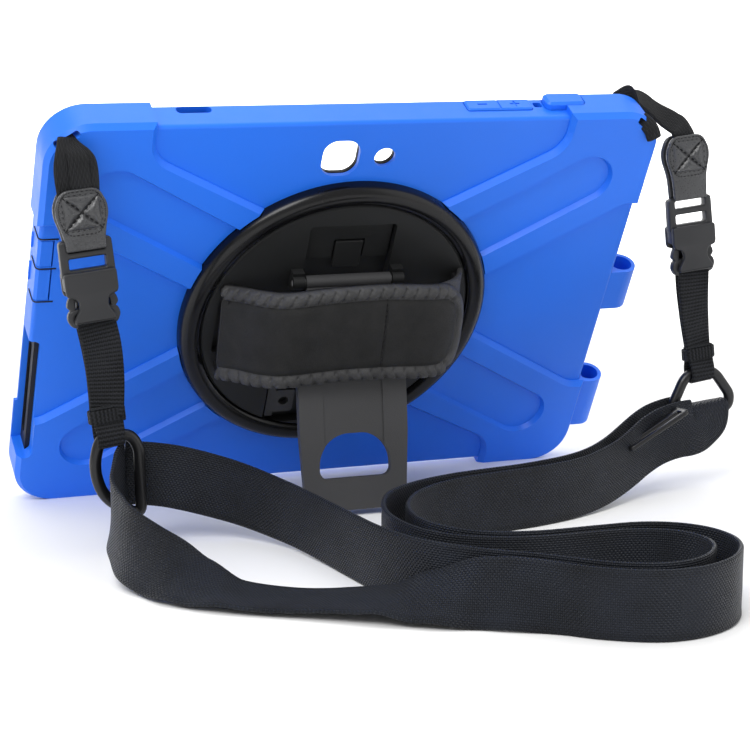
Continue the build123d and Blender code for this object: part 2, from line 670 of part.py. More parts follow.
def hanging_strap(origin, slot_exit, tongue_h, side):
    plane = chain_plane(origin)
    exit_x, exit_y, exit_z = plane.to_local_coords(slot_exit)
    with BuildPart() as elastic:
        with BuildSketch(moved_plane(plane, 0, 0, -1.0)):
            with BuildLine():
                Polyline(
                    (exit_x - 3, exit_y),
                    (-webbing_w / 2, 1.0),
                    (-webbing_w / 2, -3),
                    (webbing_w / 2, -3),
                    (webbing_w / 2, 1.0),
                    (exit_x + 3, exit_y),
                    close=True,
                )
            make_face()
        extrude(amount=2.0)
        # kept clear of the case's corner, which it passes on its way out of the slot
        with BuildSketch(MID.offset(-depth - clear)):
            RectangleRounded(out_w + 2 * clear, out_h + 2 * clear, out_r + clear)
        extrude(amount=depth + raise_h + 2 * clear, mode=Mode.SUBTRACT)
    save(elastic.part, f"elastic_loop_{side}")
    top = 0.0
    for name, face in (("leather_patch", 1.3), ("patch_backing", -1.3 - patch_t)):
        with BuildPart() as patch:
            with BuildSketch(moved_plane(plane, 0, top - patch_h / 2, face)):
                RectangleRounded(patch_w, patch_h, 5)
                with Locations((0, -patch_h / 2 - tongue_h / 2 + 1)):
                    Rectangle(tongue_w, tongue_h + 2)
            extrude(amount=patch_t)
        save(patch.part, f"{name}_{side}")
    top -= patch_h + tongue_h + clear
    with BuildPart() as female:
        with BuildSketch(moved_plane(plane, 0, top - buckle_h / 2, -buckle_t / 2)):
            RectangleRounded(buckle_w, buckle_h, 3)
        extrude(amount=buckle_t)
        fillet(female.faces().sort_by(Axis.Y)[0].edges(), 1.2)
        mouth = plane.from_local_coords((0, top - buckle_h - 1, 0))
        with BuildSketch(Plane(origin=mouth, x_dir=plane.x_dir, z_dir=plane.y_dir)):
            RectangleRounded(buckle_w - 2 * buckle_wall - 1, buckle_t - 2 * buckle_wall - 1, 1)
        extrude(amount=prong_l + 2, mode=Mode.SUBTRACT)
        with BuildSketch(moved_plane(plane, 0, top - 11, buckle_t)):
            with Locations((-buckle_w / 2, 0), (buckle_w / 2, 0)):
                RectangleRounded(9, 9, 2.5)
        extrude(amount=-2 * buckle_t, mode=Mode.SUBTRACT)
    save(female.part, f"buckle_socket_{side}")
    seat = top - buckle_h - clear
    with BuildPart() as male:
        with BuildSketch(moved_plane(plane, 0, seat - male_h / 2, -buckle_t / 2 + 0.5)):
            RectangleRounded(buckle_w - 2.4, male_h, 2.4)
            with Locations((0, -male_h / 2 + 2.7)):
                SlotOverall(webbing_w + 1, 1.8, mode=Mode.SUBTRACT)
        extrude(amount=buckle_t - 1)
        with BuildSketch(moved_plane(plane, 0, seat + prong_l / 2 - 1, -1.6)):
            Rectangle(3.0, prong_l - 1)
            with Locations((-5.8, 0), (5.8, 0)):
                Rectangle(2.4, prong_l)
            with Locations((-6.9, prong_l / 2 - 3.5), (6.9, prong_l / 2 - 3.5)):
                RectangleRounded(3.0, 5.0, 1.0)
        extrude(amount=3.2)
    save(male.part, f"buckle_tongue_{side}")
    top = seat - male_h - clear
    with BuildPart() as webbing:
        with BuildSketch(moved_plane(plane, 0, top - webbing_len / 2, -webbing_t / 2)):
            Rectangle(webbing_w, webbing_len)
        extrude(amount=webbing_t)
    save(webbing.part, f"webbing_{side}")
    top -= webbing_len + clear
    bar_y = top - keeper_h + 1.5
    fold_in = ring_wire / 2 + 2 * clear
    fold_out = fold_in + webbing_t
    with BuildPart() as keeper:
        with BuildSketch(moved_plane(plane, 0, top - keeper_h / 2, -keeper_t / 2)):
            RectangleRounded(keeper_w, keeper_h, 1.4)
        extrude(amount=keeper_t)
        with BuildSketch(fold_plane(plane, -keeper_w / 2 - 1, bar_y)):
            Circle(fold_out - fold_bite)
        extrude(amount=keeper_w + 2, mode=Mode.SUBTRACT)
        with BuildSketch(fold_plane(plane, fold_x - fold_w / 2, bar_y)):
            Circle(fold_out)
        extrude(amount=fold_w)
        with BuildSketch(fold_plane(plane, -keeper_w / 2 - 1, bar_y)):
            Circle(fold_in)
        extrude(amount=keeper_w + 2, mode=Mode.SUBTRACT)
    save(keeper.part, f"keeper_{side}")
    return plane.from_local_coords((0, bar_y, 0))


# how far each strap hangs from its slot, and the height of its patch
left_hang_s, left_hang_h, left_hang_z = 2.44, 3.4, 140.0
right_hang_s, right_hang_y, right_hang_z = 25.56, -77.6, 152.5
left_slot = corner_slot_point(-1)
left_exit = case_point(left_slot[0], left_slot[1], raise_h + 0.4)
left_origin = Vector(left_exit.X + left_hang_s, left_exit.Y - left_hang_h, left_hang_z)
left_bar = hanging_strap(left_origin, left_exit, 6.0, "left")
right_slot = corner_slot_point(1)
right_exit = case_point(right_slot[0], right_slot[1], -depth - 1.4)
right_origin = Vector(right_exit.X + right_hang_s, right_hang_y + shift_y, right_hang_z)
right_bar = hanging_strap(right_origin, right_exit, 13.5, "right")


def wire_ring(plane, line, label):
    with BuildPart() as ring:
        with BuildLine(plane) as centre:
            FilletPolyline(*line, close=True, radius=ring_bend)
        path = centre.wire()
        with BuildSketch(Plane(origin=path @ 0, z_dir=path % 0)):
            Circle(ring_wire / 2)
        sweep(path=path)
    save(ring.part, label)


wire_ring(Plane(origin=left_bar, x_dir=(1, 0, 0), z_dir=(0, -1, 0)), left_ring_line, "strap_ring_left")
wire_ring(chain_plane(right_bar), right_ring_line, "strap_ring_right")

# ---- shoulder strap: two strands of flat webbing that stand on edge on the ground -------------------
# Middle of the strap at each corner of its route, from the right-hand ring to the left-hand one.
back_route = [
    (134.2, -26.5, 37.5), (118.2, -28.5, 30.5), (89.2, -41.5, 16.5), (70.2, -53.8, 12.9),
    (45.2, -64.5, 12.6), (20.2, -69.1, 12.6), (-5.8, -73.9, 12.6), (-30.8, -88.3, 12.6),
    (-42.8, -112.3, 12.6), (-44.8, -139.3, 12.6), (-34.8, -162.3, 12.6), (-10.8, -173.3, 12.6),
    (14.2, -173.9, 12.6), (34.2, -175.3, 12.6), (47.2, -186.3, 12.6), (48.2, -202.3, 12.6),
    (37.2, -216.3, 12.6), (19.2, -221.3, 12.6), (1.2, -212.3, 12.6), (-13.8, -195.3, 12.6),
    (-31.8, -181.3, 12.6), (-45.8, -165.3, 12.6), (-53.8, -143.3, 12.6), (-56.8, -117.3, 12.6),
    (-59.8, -92.3, 12.9), (-65.8, -69.3, 14.5), (-77.8, -53.3, 18.5), (-94.8, -47.1, 24),
    (-111.8, -45.9, 28.5), (-124.8, -47.5, 30),
]
front_route = [
    (134.2, -40.7, 37.5), (118.2, -39.3, 30.5), (89.2, -50.9, 16.5), (69.2, -62.3, 12.9),
    (45.2, -72.1, 12.6), (21.2, -76.3, 12.6), (-2.8, -81.3, 12.6), (-21.8, -94.3, 12.6),
    (-33.8, -113.3, 12.6), (-36.8, -136.3, 12.6), (-27.8, -157.3, 12.6), (-8.8, -166.3, 12.6),
    (15.2, -166.9, 12.6), (39.2, -166.3, 12.6), (56.2, -179.3, 12.6), (59.2, -201.3, 12.6),
    (44.2, -222.3, 12.6), (21.2, -230.3, 12.6), (-0.8, -221.3, 12.6), (-16.8, -204.3, 12.6),
    (-34.8, -190.3, 12.6), (-56.8, -176.3, 12.6), (-82.8, -161.3, 12.6), (-107.8, -145.3, 12.6),
    (-126.8, -123.3, 12.8), (-135.8, -98.3, 14.5), (-136.8, -77.3, 20), (-130.8, -61.8, 27),
]


def corner_radii(points):
    """The largest arc each corner's two runs leave room for, as 0.45 of the shorter run allows."""
    radii = []
    for before, here, after in zip(points, points[1:], points[2:]):
        into = Vector(*here) - Vector(*before)
        away = Vector(*after) - Vector(*here)
        half_turn = radians(into.get_angle(away) / 2)
        radii.append(0.45 * min(into.length, away.length) / tan(half_turn))
    return radii


def flat_strand(route, label):
    radii = corner_radii(route)
    with BuildPart() as strand:
        with BuildLine() as centre:
            FilletPolyline(*route, radius=radii)
        path = centre.wire()
        start = path % 0
        with BuildSketch(Plane(origin=path @ 0, z_dir=start, x_dir=Vector(0, 0, 1).cross(start))):
            Rectangle(strap_t, strap_w)
        sweep(path=path)
    print(label, "length", round(path.length, 1), "radii", [round(r) for r in radii])
    full = strap_w * strap_t * path.length
    print(label, "volume", round(strand.part.volume), "section x length", round(full))
    save(strand.part, label)


flat_strand(back_route, "shoulder_strap_back")
flat_strand(front_route, "shoulder_strap_front")

# ---- adjuster between the two strands ------------------------------------------------------------------
adjuster_w, adjuster_h, adjuster_t = 20.0, 27.0, 3.0
adjuster_slot = 4.2
run_from = (Vector(*back_route[1]) + Vector(*front_route[1])) / 2
run_to = (Vector(*back_route[2]) + Vector(*front_route[2])) / 2
run_dir = (run_to - run_from).normalized()
run_side = Vector(0, 0, 1).cross(run_dir).normalized()
ADJUSTER = Plane(origin=(run_from + run_to) / 2, x_dir=run_dir, z_dir=run_side)

with BuildPart() as strap_adjuster:
    with BuildSketch(ADJUSTER.offset(-adjuster_t / 2)):
        RectangleRounded(adjuster_w, adjuster_h, 3)
        with Locations((-adjuster_slot, 0), (adjuster_slot, 0)):
            RectangleRounded(adjuster_slot, adjuster_h - 4.6, 1.2, mode=Mode.SUBTRACT)
    extrude(amount=adjuster_t)
    chamfer(strap_adjuster.faces().sort_by(Axis(ADJUSTER.origin, run_side))[-1].outer_wire().edges(), 0.8)
    chamfer(strap_adjuster.faces().sort_by(Axis(ADJUSTER.origin, run_side))[0].outer_wire().edges(), 0.8)
save(strap_adjuster.part, "strap_adjuster")
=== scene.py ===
"""Looks of a rugged tablet case with a turning stand, a hand strap and a shoulder strap. Metres, +Z up."""

import math

import bmesh
import bpy
from mathutils import Matrix, Vector, noise


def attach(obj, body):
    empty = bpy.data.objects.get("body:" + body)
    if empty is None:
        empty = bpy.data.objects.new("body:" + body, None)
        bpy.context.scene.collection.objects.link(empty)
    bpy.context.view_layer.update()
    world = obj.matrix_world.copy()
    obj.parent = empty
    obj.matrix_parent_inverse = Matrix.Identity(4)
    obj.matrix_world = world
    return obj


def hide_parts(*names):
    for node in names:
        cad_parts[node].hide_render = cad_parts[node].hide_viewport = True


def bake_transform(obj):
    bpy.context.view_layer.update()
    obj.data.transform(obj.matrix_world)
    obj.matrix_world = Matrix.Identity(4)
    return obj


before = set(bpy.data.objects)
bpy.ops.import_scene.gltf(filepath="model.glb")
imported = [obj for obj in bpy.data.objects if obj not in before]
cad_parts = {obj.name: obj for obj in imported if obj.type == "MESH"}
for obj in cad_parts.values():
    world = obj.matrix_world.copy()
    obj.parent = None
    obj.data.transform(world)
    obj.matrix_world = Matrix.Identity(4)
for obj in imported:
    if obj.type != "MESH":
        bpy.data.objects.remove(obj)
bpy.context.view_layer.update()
MM = 0.001

# ---- the case's own frame: s across, t up the case, h out of its back ------------------------------
LEAN = math.radians(30)
CASE_ORIGIN = Vector((-22.8, 44.7, 1.9))
ACROSS = Vector((1, 0, 0))
UP = Vector((0, -math.sin(LEAN), math.cos(LEAN)))
OUT = Vector((0, -math.cos(LEAN), -math.sin(LEAN)))


def case_point(s, t, h):
    return (CASE_ORIGIN + ACROSS * s + UP * t + OUT * h) * MM


def mm(x, y, z):
    return Vector((x, y, z)) * MM


# ---- camera and light ---------------------------------------------------------------------------------
FOCAL_LENGTH, SENSOR_WIDTH = 100.64, 36
CAMERA_PLACE = mm(-307.6, -820.7, 212.06)
CAMERA_TILT, CAMERA_TURN = math.radians(79.666), math.radians(-20.333)
AIM = (0, 0, 0.08)
WORLD_STRENGTH = 0.6

camera_data = bpy.data.cameras.new("camera")
camera_data.lens = FOCAL_LENGTH
camera_data.sensor_width = SENSOR_WIDTH
camera = bpy.data.objects.new("camera", camera_data)
camera.location = CAMERA_PLACE
camera.rotation_euler = (CAMERA_TILT, 0, CAMERA_TURN)
bpy.context.collection.objects.link(camera)
bpy.context.scene.camera = camera


def area_light(name, place, aim, size, power):
    data = bpy.data.lights.new(name, "AREA")
    data.size = size
    data.energy = power
    lamp = bpy.data.objects.new(name, data)
    lamp.location = place
    lamp.rotation_euler = (Vector(aim) - Vector(place)).to_track_quat("-Z", "Y").to_euler()
    bpy.context.collection.objects.link(lamp)


area_light("key", (-0.9, -1.0, 1.3), AIM, 0.9, 20)
area_light("fill", (1.3, -0.9, 0.7), AIM, 1.4, 5)
area_light("top", (0.1, 0.2, 1.7), (0, 0, 0.0), 1.6, 14)
area_light("backdrop_light", (0.2, 0.9, 1.3), (0.6, 2.6, 0.5), 1.6, 70)
world = bpy.data.worlds.new("world")
bpy.context.scene.world = world
world.use_nodes = True
background = world.node_tree.nodes["Background"]
background.inputs["Color"].default_value = (1, 1, 1, 1)
background.inputs["Strength"].default_value = WORLD_STRENGTH
bpy.context.scene.view_settings.view_transform = "Standard"


# ---- materials ------------------------------------------------------------------------------------------
# depth of each relief at full strength, in metres
GRAIN_RELIEF, FINE_RELIEF, PEBBLE_RELIEF = 0.00012, 0.0001, 0.00022
CREASE_RELIEF, SWELL_RELIEF = 0.0002, 0.0006
SELVEDGE_SEAM = 0.00035


class Nodes:
    """A material under construction, with its shader and a few short ways to add nodes."""

    def __init__(self, name, colour, roughness, sheen=0.0, specular=0.5):
        self.material = bpy.data.materials.new(name)
        self.material.use_nodes = True
        self.tree = self.material.node_tree
        self.shader = self.tree.nodes["Principled BSDF"]
        self.shader.inputs["Base Color"].default_value = (*colour, 1)
        self.shader.inputs["Roughness"].default_value = roughness
        self.shader.inputs["Sheen Weight"].default_value = sheen
        self.shader.inputs["Specular IOR Level"].default_value = specular
        self.material.diffuse_color = (*colour, 1)
        self.height = None

    def add(self, kind, **values):
        node = self.tree.nodes.new(kind)
        for key, value in values.items():
            node.inputs[key].default_value = value
        return node

    def link(self, a, b):
        self.tree.links.new(a, b)

    def math(self, operation, a, b):
        node = self.tree.nodes.new("ShaderNodeMath")
        node.operation = operation
        for socket, value in zip(node.inputs, (a, b)):
            if isinstance(value, (int, float)):
                socket.default_value = value
            else:
                self.link(value, socket)
        return node.outputs[0]

    def coords(self, which="Object"):
        node = self.tree.nodes.new("ShaderNodeTexCoord")
        return node.outputs[which]

    def noise(self, scale, detail):
        node = self.add("ShaderNodeTexNoise", Scale=scale, Detail=detail)
        self.link(self.coords(), node.inputs["Vector"])
        return node.outputs["Fac"]

    def pebbles(self, scale):
        node = self.add("ShaderNodeTexVoronoi", Scale=scale)
        self.link(self.coords(), node.inputs["Vector"])
        return node.outputs["Distance"]

    def ramp(self, value, low, high, start=0.0, end=1.0):
        node = self.tree.nodes.new("ShaderNodeValToRGB")
        node.color_ramp.elements[0].position = start
        node.color_ramp.elements[1].position = end
        node.color_ramp.elements[0].color = (*low, 1)
        node.color_ramp.elements[1].color = (*high, 1)
        self.link(value, node.inputs["Fac"])
        self.link(node.outputs["Color"], self.shader.inputs["Base Color"])

    def rough(self, value, low, high):
        node = self.tree.nodes.new("ShaderNodeMapRange")
        node.inputs["To Min"].default_value = low
        node.inputs["To Max"].default_value = high
        self.link(value, node.inputs["Value"])
        self.link(node.outputs["Result"], self.shader.inputs["Roughness"])

    def bump(self, value, strength, distance):
        node = self.add("ShaderNodeBump", Strength=strength, Distance=distance)
        self.link(value, node.inputs["Height"])
        if self.height is not None:
            self.link(self.height, node.inputs["Normal"])
        self.height = node.outputs["Normal"]
        self.link(self.height, self.shader.inputs["Normal"])


def scaled(colour, factor):
    return tuple(min(1.0, c * factor) for c in colour)


def plastic(name, colour, roughness, grain=2600, depth=0.25, spread=0.12, specular=0.5):
    """Moulded plastic: faint clouds in its colour and gloss, and a fine grain."""
    n = Nodes(name, colour, roughness, specular=specular)
    n.ramp(n.noise(26, 4), scaled(colour, 1 - spread), scaled(colour, 1 + spread), 0.3, 0.7)
    n.rough(n.noise(90, 5), roughness - 0.06, roughness + 0.08)
    n.bump(n.noise(grain, 3), depth, GRAIN_RELIEF)
    return n.material


def silicone(name, colour):
    """Matt rubber: almost even in colour, with a fine grain over a slow swell."""
    n = Nodes(name, colour, 0.42, specular=0.38)
    n.ramp(n.noise(9, 4), scaled(colour, 0.95), scaled(colour, 1.05), 0.32, 0.68)
    n.rough(n.noise(160, 5), 0.36, 0.5)
    n.bump(n.noise(3400, 2), 0.16, FINE_RELIEF)
    n.bump(n.noise(55, 2), 0.05, SWELL_RELIEF)
    return n.material


def leather(name, colour, roughness, depth, scale, specular):
    """Pebbled leather, with creases between its pebbles."""
    n = Nodes(name, colour, roughness, specular=specular)
    cells = n.pebbles(scale)
    n.ramp(n.noise(140, 5), scaled(colour, 0.8), scaled(colour, 1.25), 0.3, 0.7)
    n.rough(cells, roughness - 0.07, roughness + 0.14)
    n.bump(cells, depth, PEBBLE_RELIEF)
    n.bump(n.noise(420, 3), depth * 0.5, CREASE_RELIEF)
    return n.material


def woven(name, colour, across, along, depth, roughness=0.78, rib=0.0, border=0.0, specular=0.16):
    """Cloth tape with threads both ways and ribs over them. Its UV is in metres, u across and v along."""
    n = Nodes(name, colour, roughness, sheen=0.03, specular=specular)
    uv = n.tree.nodes.new("ShaderNodeSeparateXYZ")
    n.link(n.coords("UV"), uv.inputs[0])
    u, v = uv.outputs[0], uv.outputs[1]
    warp = n.math("SINE", n.math("MULTIPLY", u, math.tau / across), 0)
    phase = n.math("MULTIPLY", v, math.tau / along)
    shift = n.math("MULTIPLY", n.math("SIGN", warp, 0), math.pi / 2)
    weft = n.math("SINE", n.math("ADD", phase, shift), 0)
    cloth = n.math("ADD", n.math("ABSOLUTE", warp, 0), n.math("MULTIPLY", weft, 0.7))
    if rib:
        ridge = n.math("SINE", n.math("MULTIPLY", v, math.tau / rib), 0)
        cloth = n.math("ADD", cloth, n.math("MULTIPLY", ridge, 1.6))
    mixed = n.math("ADD", n.math("MULTIPLY", cloth, 0.22), n.noise(60, 4))
    if border:
        # a selvedge along both edges of the tape, darker than the middle, with a seam sunk where it starts
        from_middle = n.math("ABSOLUTE", u, 0)
        inside = n.math("LESS_THAN", from_middle, border)
        mixed = n.math("ADD", mixed, n.math("MULTIPLY", inside, 0.10))
        from_border = n.math("ABSOLUTE", n.math("SUBTRACT", from_middle, border), 0)
        seam = n.math("LESS_THAN", from_border, SELVEDGE_SEAM)
        cloth = n.math("SUBTRACT", cloth, n.math("MULTIPLY", seam, 1.5))
    n.ramp(mixed, scaled(colour, 0.35), scaled(colour, 2.4), 0.25, 0.95)
    n.bump(cloth, depth, PEBBLE_RELIEF)
    n.bump(n.noise(5000, 2), 0.2, FINE_RELIEF)
    return n.material


BLUE = silicone("blue_silicone_look", (0.013, 0.160, 0.82))
SHELL = plastic("shell_look", (0.008, 0.008, 0.009), 0.5, specular=0.3)
DISC = plastic("turntable_look", (0.015, 0.0155, 0.016), 0.45, grain=2200, depth=0.18, specular=0.25)
GLOSS = plastic("ring_look", (0.002, 0.002, 0.0025), 0.24, grain=700, depth=0.03, specular=0.33)
LEG = plastic("leg_look", (0.050, 0.050, 0.052), 0.52, grain=2400, depth=0.7, spread=0.07, specular=0.35)
STEEL = plastic("steel_look", (0.24, 0.24, 0.25), 0.36, grain=900, depth=0.12)
BUCKLE = plastic("buckle_look", (0.018, 0.0185, 0.021), 0.38, grain=1500, depth=0.12, specular=0.4)
LOOP = plastic("ring_wire_look", (0.006, 0.006, 0.007), 0.3, grain=900, depth=0.08, specular=0.4)
PANEL = leather("panel_look", (0.014, 0.014, 0.014), 0.66, 0.2, 2100, specular=0.25)
EDGING = leather("edging_look", (0.040, 0.040, 0.041), 0.55, 0.6, 1500, specular=0.3)
PATCH = leather("patch_look", (0.026, 0.027, 0.030), 0.30, 0.6, 1000, specular=0.7)
TAPE = woven(
    "tape_look", (0.0045, 0.0057, 0.0090), 0.0017, 0.0015, 1.0, roughness=0.42, border=0.0100, specular=0.19)
RIBBED = woven("ribbed_tape_look", (0.0070, 0.0075, 0.009), 0.0016, 0.0016, 0.5, rib=0.0015)
ELASTIC = woven("elastic_look", (0.0085, 0.0088, 0.0098), 0.0014, 0.0042, 0.8)
THREAD = woven("thread_look", (0.008, 0.008, 0.009), 0.0008, 0.0008, 0.3)

for node, look in {
    "outer_skin": BLUE, "jack_flap": BLUE, "usb_flap": BLUE, "volume_rocker": BLUE, "power_button": BLUE,
    "back_shell": SHELL, "front_frame": SHELL, "turntable": DISC, "retaining_ring": GLOSS,
    "kickstand_leg": LEG, "leg_pin": STEEL, "leaf_spring": SHELL, "leg_catch": LEG, "ring_screws": STEEL,
    "friction_washer": SHELL, "strap_bar_left": SHELL, "strap_bar_right": SHELL,
    "strap_ring_left": LOOP, "strap_ring_right": LOOP, "strap_adjuster": BUCKLE,
}.items():
    for material_slot in bpy.data.objects[node].material_slots:
        material_slot.material = look


# ---- mesh helpers ---------------------------------------------------------------------------------------
STRIP_STEPS, TUBE_SIDES, BEVEL_STEPS, NURBS_ORDER = 10, 16, 3, 3


def axes_matrix(x, y, z, origin):
    """The matrix of a local frame, from its three axes and its origin."""
    return Matrix((*[(x[i], y[i], z[i], origin[i]) for i in range(3)], (0, 0, 0, 1)))


def new_mesh(name, verts, faces):
    mesh = bpy.data.meshes.new(name)
    mesh.from_pydata(verts, [], faces)
    return mesh


def new_object(name, mesh, look):
    """A smooth object of the mesh. Its look is None where the mesh has its materials already."""
    piece = bpy.data.objects.new(name, mesh)
    bpy.context.collection.objects.link(piece)
    if look:
        mesh.materials.append(look)
    for face in mesh.polygons:
        face.use_smooth = True
    return piece


def nurbs(points, resolution=12):
    """Points read from a NURBS spline whose control points are given, in metres."""
    curve = bpy.data.curves.new("route", "CURVE")
    curve.dimensions = "3D"
    curve.resolution_u = resolution
    spline = curve.splines.new("NURBS")
    spline.points.add(len(points) - 1)
    for place, point in zip(spline.points, points):
        place.co = (*point, 1)
    spline.order_u = NURBS_ORDER
    spline.use_endpoint_u = True
    holder = bpy.data.objects.new("route", curve)
    bpy.context.collection.objects.link(holder)
    bpy.context.view_layer.update()
    line = bpy.data.meshes.new_from_object(holder)
    found = [vertex.co.copy() for vertex in line.vertices]
    bpy.data.objects.remove(holder)
    bpy.data.curves.remove(curve)
    bpy.data.meshes.remove(line)
    return found


def lengths_along(line):
    total = [0.0]
    for a, b in zip(line, line[1:]):
        total.append(total[-1] + (b - a).length)
    return total


def between(keys, x):
    """The value at x of a smooth line through (place, value) keys."""
    if x <= keys[0][0]:
        return keys[0][1]
    for (a, low), (b, high) in zip(keys, keys[1:]):
        if x <= b:
            f = (x - a) / (b - a)
            return low + (high - low) * f * f * (3 - 2 * f)
    return keys[-1][1]


def tangents(line):
    found = []
    for i in range(len(line)):
        found.append((line[min(i + 1, len(line) - 1)] - line[max(i - 1, 0)]).normalized())
    return found


def strip_section(width, thick, crown=0.0, lip=0.0):
    """A flat band's outline in metres: rounded long edges, and a crown or a raised lip on its faces."""
    side = []
    half, edge = width / 2, thick / 2
    for i in range(STRIP_STEPS + 1):
        x = -half + edge + (width - thick) * i / STRIP_STEPS
        rise = crown * (1 - (x / half) ** 2) + lip * max(0.0, (abs(x) / half - 0.8) / 0.2)
        side.append((x, edge + rise))
    for k in range(1, 4):
        turn = math.pi / 2 - math.pi * k / 4
        side.append((half - edge + edge * math.cos(turn), edge * math.sin(turn)))
    return [(x * MM, y * MM) for x, y in side + [(-x, -y) for x, y in side]]


def turned_sides(line, side, keys, factor=1.0):
    """The direction side at each point of line, turned about the line by factor times the keys' degrees."""
    gone = lengths_along(line)
    found = []
    for way, far in zip(tangents(line), gone):
        degrees = factor * between(keys, far / gone[-1])
        found.append(Matrix.Rotation(math.radians(degrees), 3, way) @ side)
    return found


def band(name, line, sides, section, look, squeeze=None, wobble=0.0, seed=0.0):
    """A closed band along line. sides holds the direction of the band's width at each point."""
    verts, uvs, faces = [], [], []
    ahead = tangents(line)
    gone = lengths_along(line)
    count = len(section)
    for i, (centre, side, way) in enumerate(zip(line, sides, ahead)):
        side = (side - way * side.dot(way)).normalized()
        face = way.cross(side)
        factor = squeeze(gone[i] / gone[-1]) if squeeze else 1.0
        for x, y in section:
            sway = wobble * noise.noise(Vector((gone[i] * 60, x * 90, seed))) if wobble else 0.0
            verts.append(centre + side * (x * factor) + face * (y + sway))
            uvs.append((x, gone[i]))
    for i in range(len(line) - 1):
        for k in range(count):
            a, b = i * count + k, i * count + (k + 1) % count
            faces.append((a, b, b + count, a + count))
    faces.append(tuple(range(count - 1, -1, -1)))
    last = (len(line) - 1) * count
    faces.append(tuple(range(last, last + count)))
    mesh = new_mesh(name, verts, faces)
    layer = mesh.uv_layers.new(name="UVMap")
    for loop in mesh.loops:
        layer.data[loop.index].uv = uvs[loop.vertex_index]
    fix_normals(mesh)
    return new_object(name, mesh, look)


def tube(name, line, radius, look, closed=False):
    """A round wire along line, or round it where it is closed."""
    verts, faces = [], []
    count = len(line)
    side = Vector((0, 1, 0))
    for i, centre in enumerate(line):
        if closed:
            way = (line[(i + 1) % count] - line[i - 1]).normalized()
        else:
            way = (line[min(i + 1, count - 1)] - line[max(i - 1, 0)]).normalized()
        side = (side - way * side.dot(way)).normalized()
        other = way.cross(side)
        for k in range(TUBE_SIDES):
            turn = math.tau * k / TUBE_SIDES
            verts.append(centre + (side * math.cos(turn) + other * math.sin(turn)) * radius)
    for i in range(count if closed else count - 1):
        after = (i + 1) % count
        for k in range(TUBE_SIDES):
            b = (k + 1) % TUBE_SIDES
            here_row, after_row = i * TUBE_SIDES, after * TUBE_SIDES
            faces.append((here_row + k, here_row + b, after_row + b, after_row + k))
    if not closed:
        faces.append(tuple(range(TUBE_SIDES)))
        faces.append(tuple(range((count - 1) * TUBE_SIDES, count * TUBE_SIDES)))
    mesh = new_mesh(name, verts, faces)
    fix_normals(mesh)
    return new_object(name, mesh, look)


def fix_normals(mesh):
    shape = bmesh.new()
    shape.from_mesh(mesh)
    bmesh.ops.recalc_face_normals(shape, faces=shape.faces)
    shape.to_mesh(mesh)
    shape.free()


def plate(name, outlines, thick, bevel, matrix, look):
    """A moulded plate: the first outline is its edge, the others its holes, all in local x and y."""
    curve = bpy.data.curves.new(name, "CURVE")
    curve.dimensions = "2D"
    curve.fill_mode = "BOTH"
    curve.extrude = (thick / 2 - bevel) * MM
    curve.bevel_depth = bevel * MM
    curve.bevel_resolution = BEVEL_STEPS
    curve.offset = -bevel * MM
    for outline in outlines:
        spline = curve.splines.new("POLY")
        spline.points.add(len(outline) - 1)
        for place, (x, y) in zip(spline.points, outline):
            place.co = (x * MM, y * MM, 0, 1)
        spline.use_cyclic_u = True
    holder = bpy.data.objects.new(name, curve)
    bpy.context.collection.objects.link(holder)
    bpy.context.view_layer.update()
    mesh = bpy.data.meshes.new_from_object(holder)
    bpy.data.objects.remove(holder)
    bpy.data.curves.remove(curve)
    shape = bmesh.new()
    shape.from_mesh(mesh)
    bmesh.ops.remove_doubles(shape, verts=shape.verts, dist=1e-6)
    bmesh.ops.recalc_face_normals(shape, faces=shape.faces)
    shape.to_mesh(mesh)
    shape.free()
    mesh.transform(matrix)
    mesh.name = name
    piece = new_object(name, mesh, look)
    sharpen(piece, 40)
    return piece


def sharpen(piece, degrees):
    """Edges that bend by more than this stay sharp."""
    piece.data.set_sharp_from_angle(angle=math.radians(degrees))


def rounded(points, radius, steps=5):
    """The outline through points with its corners rounded, by one radius or by one for each corner."""
    found = []
    for i, point in enumerate(points):
        here = Vector(point)
        before = Vector(points[i - 1]) - here
        after = Vector(points[(i + 1) % len(points)]) - here
        r = radius[i] if isinstance(radius, (list, tuple)) else radius
        reach = min(r, before.length * 0.48, after.length * 0.48)
        a, b = here + before.normalized() * reach, here + after.normalized() * reach
        for k in range(steps + 1):
            f = k / steps
            found.append(tuple(a * (1 - f) ** 2 + here * 2 * f * (1 - f) + b * f**2))
    return found


def stitches(name, runs, size, look, gap=2.2, proud=0.35):
    """Thread along each run (start, end, face direction), as short rounded stitches."""
    shape = bmesh.new()
    for start, end, face in runs:
        run = end - start
        count = max(1, round(run.length / (gap * MM)))
        way = run.normalized()
        side = face.cross(way).normalized()
        for i in range(count):
            centre = start + run * ((i + 0.5) / count) + face * (proud * 0.3 * MM)
            half = run.length / count * 0.36
            matrix = axes_matrix(way * half, side * (size * MM), face * (proud * MM), centre)
            bmesh.ops.create_icosphere(shape, subdivisions=2, radius=1.0, matrix=matrix)
    mesh = bpy.data.meshes.new(name)
    shape.to_mesh(mesh)
    shape.free()
    mesh.uv_layers.new(name="UVMap")
    return new_object(name, mesh, look)


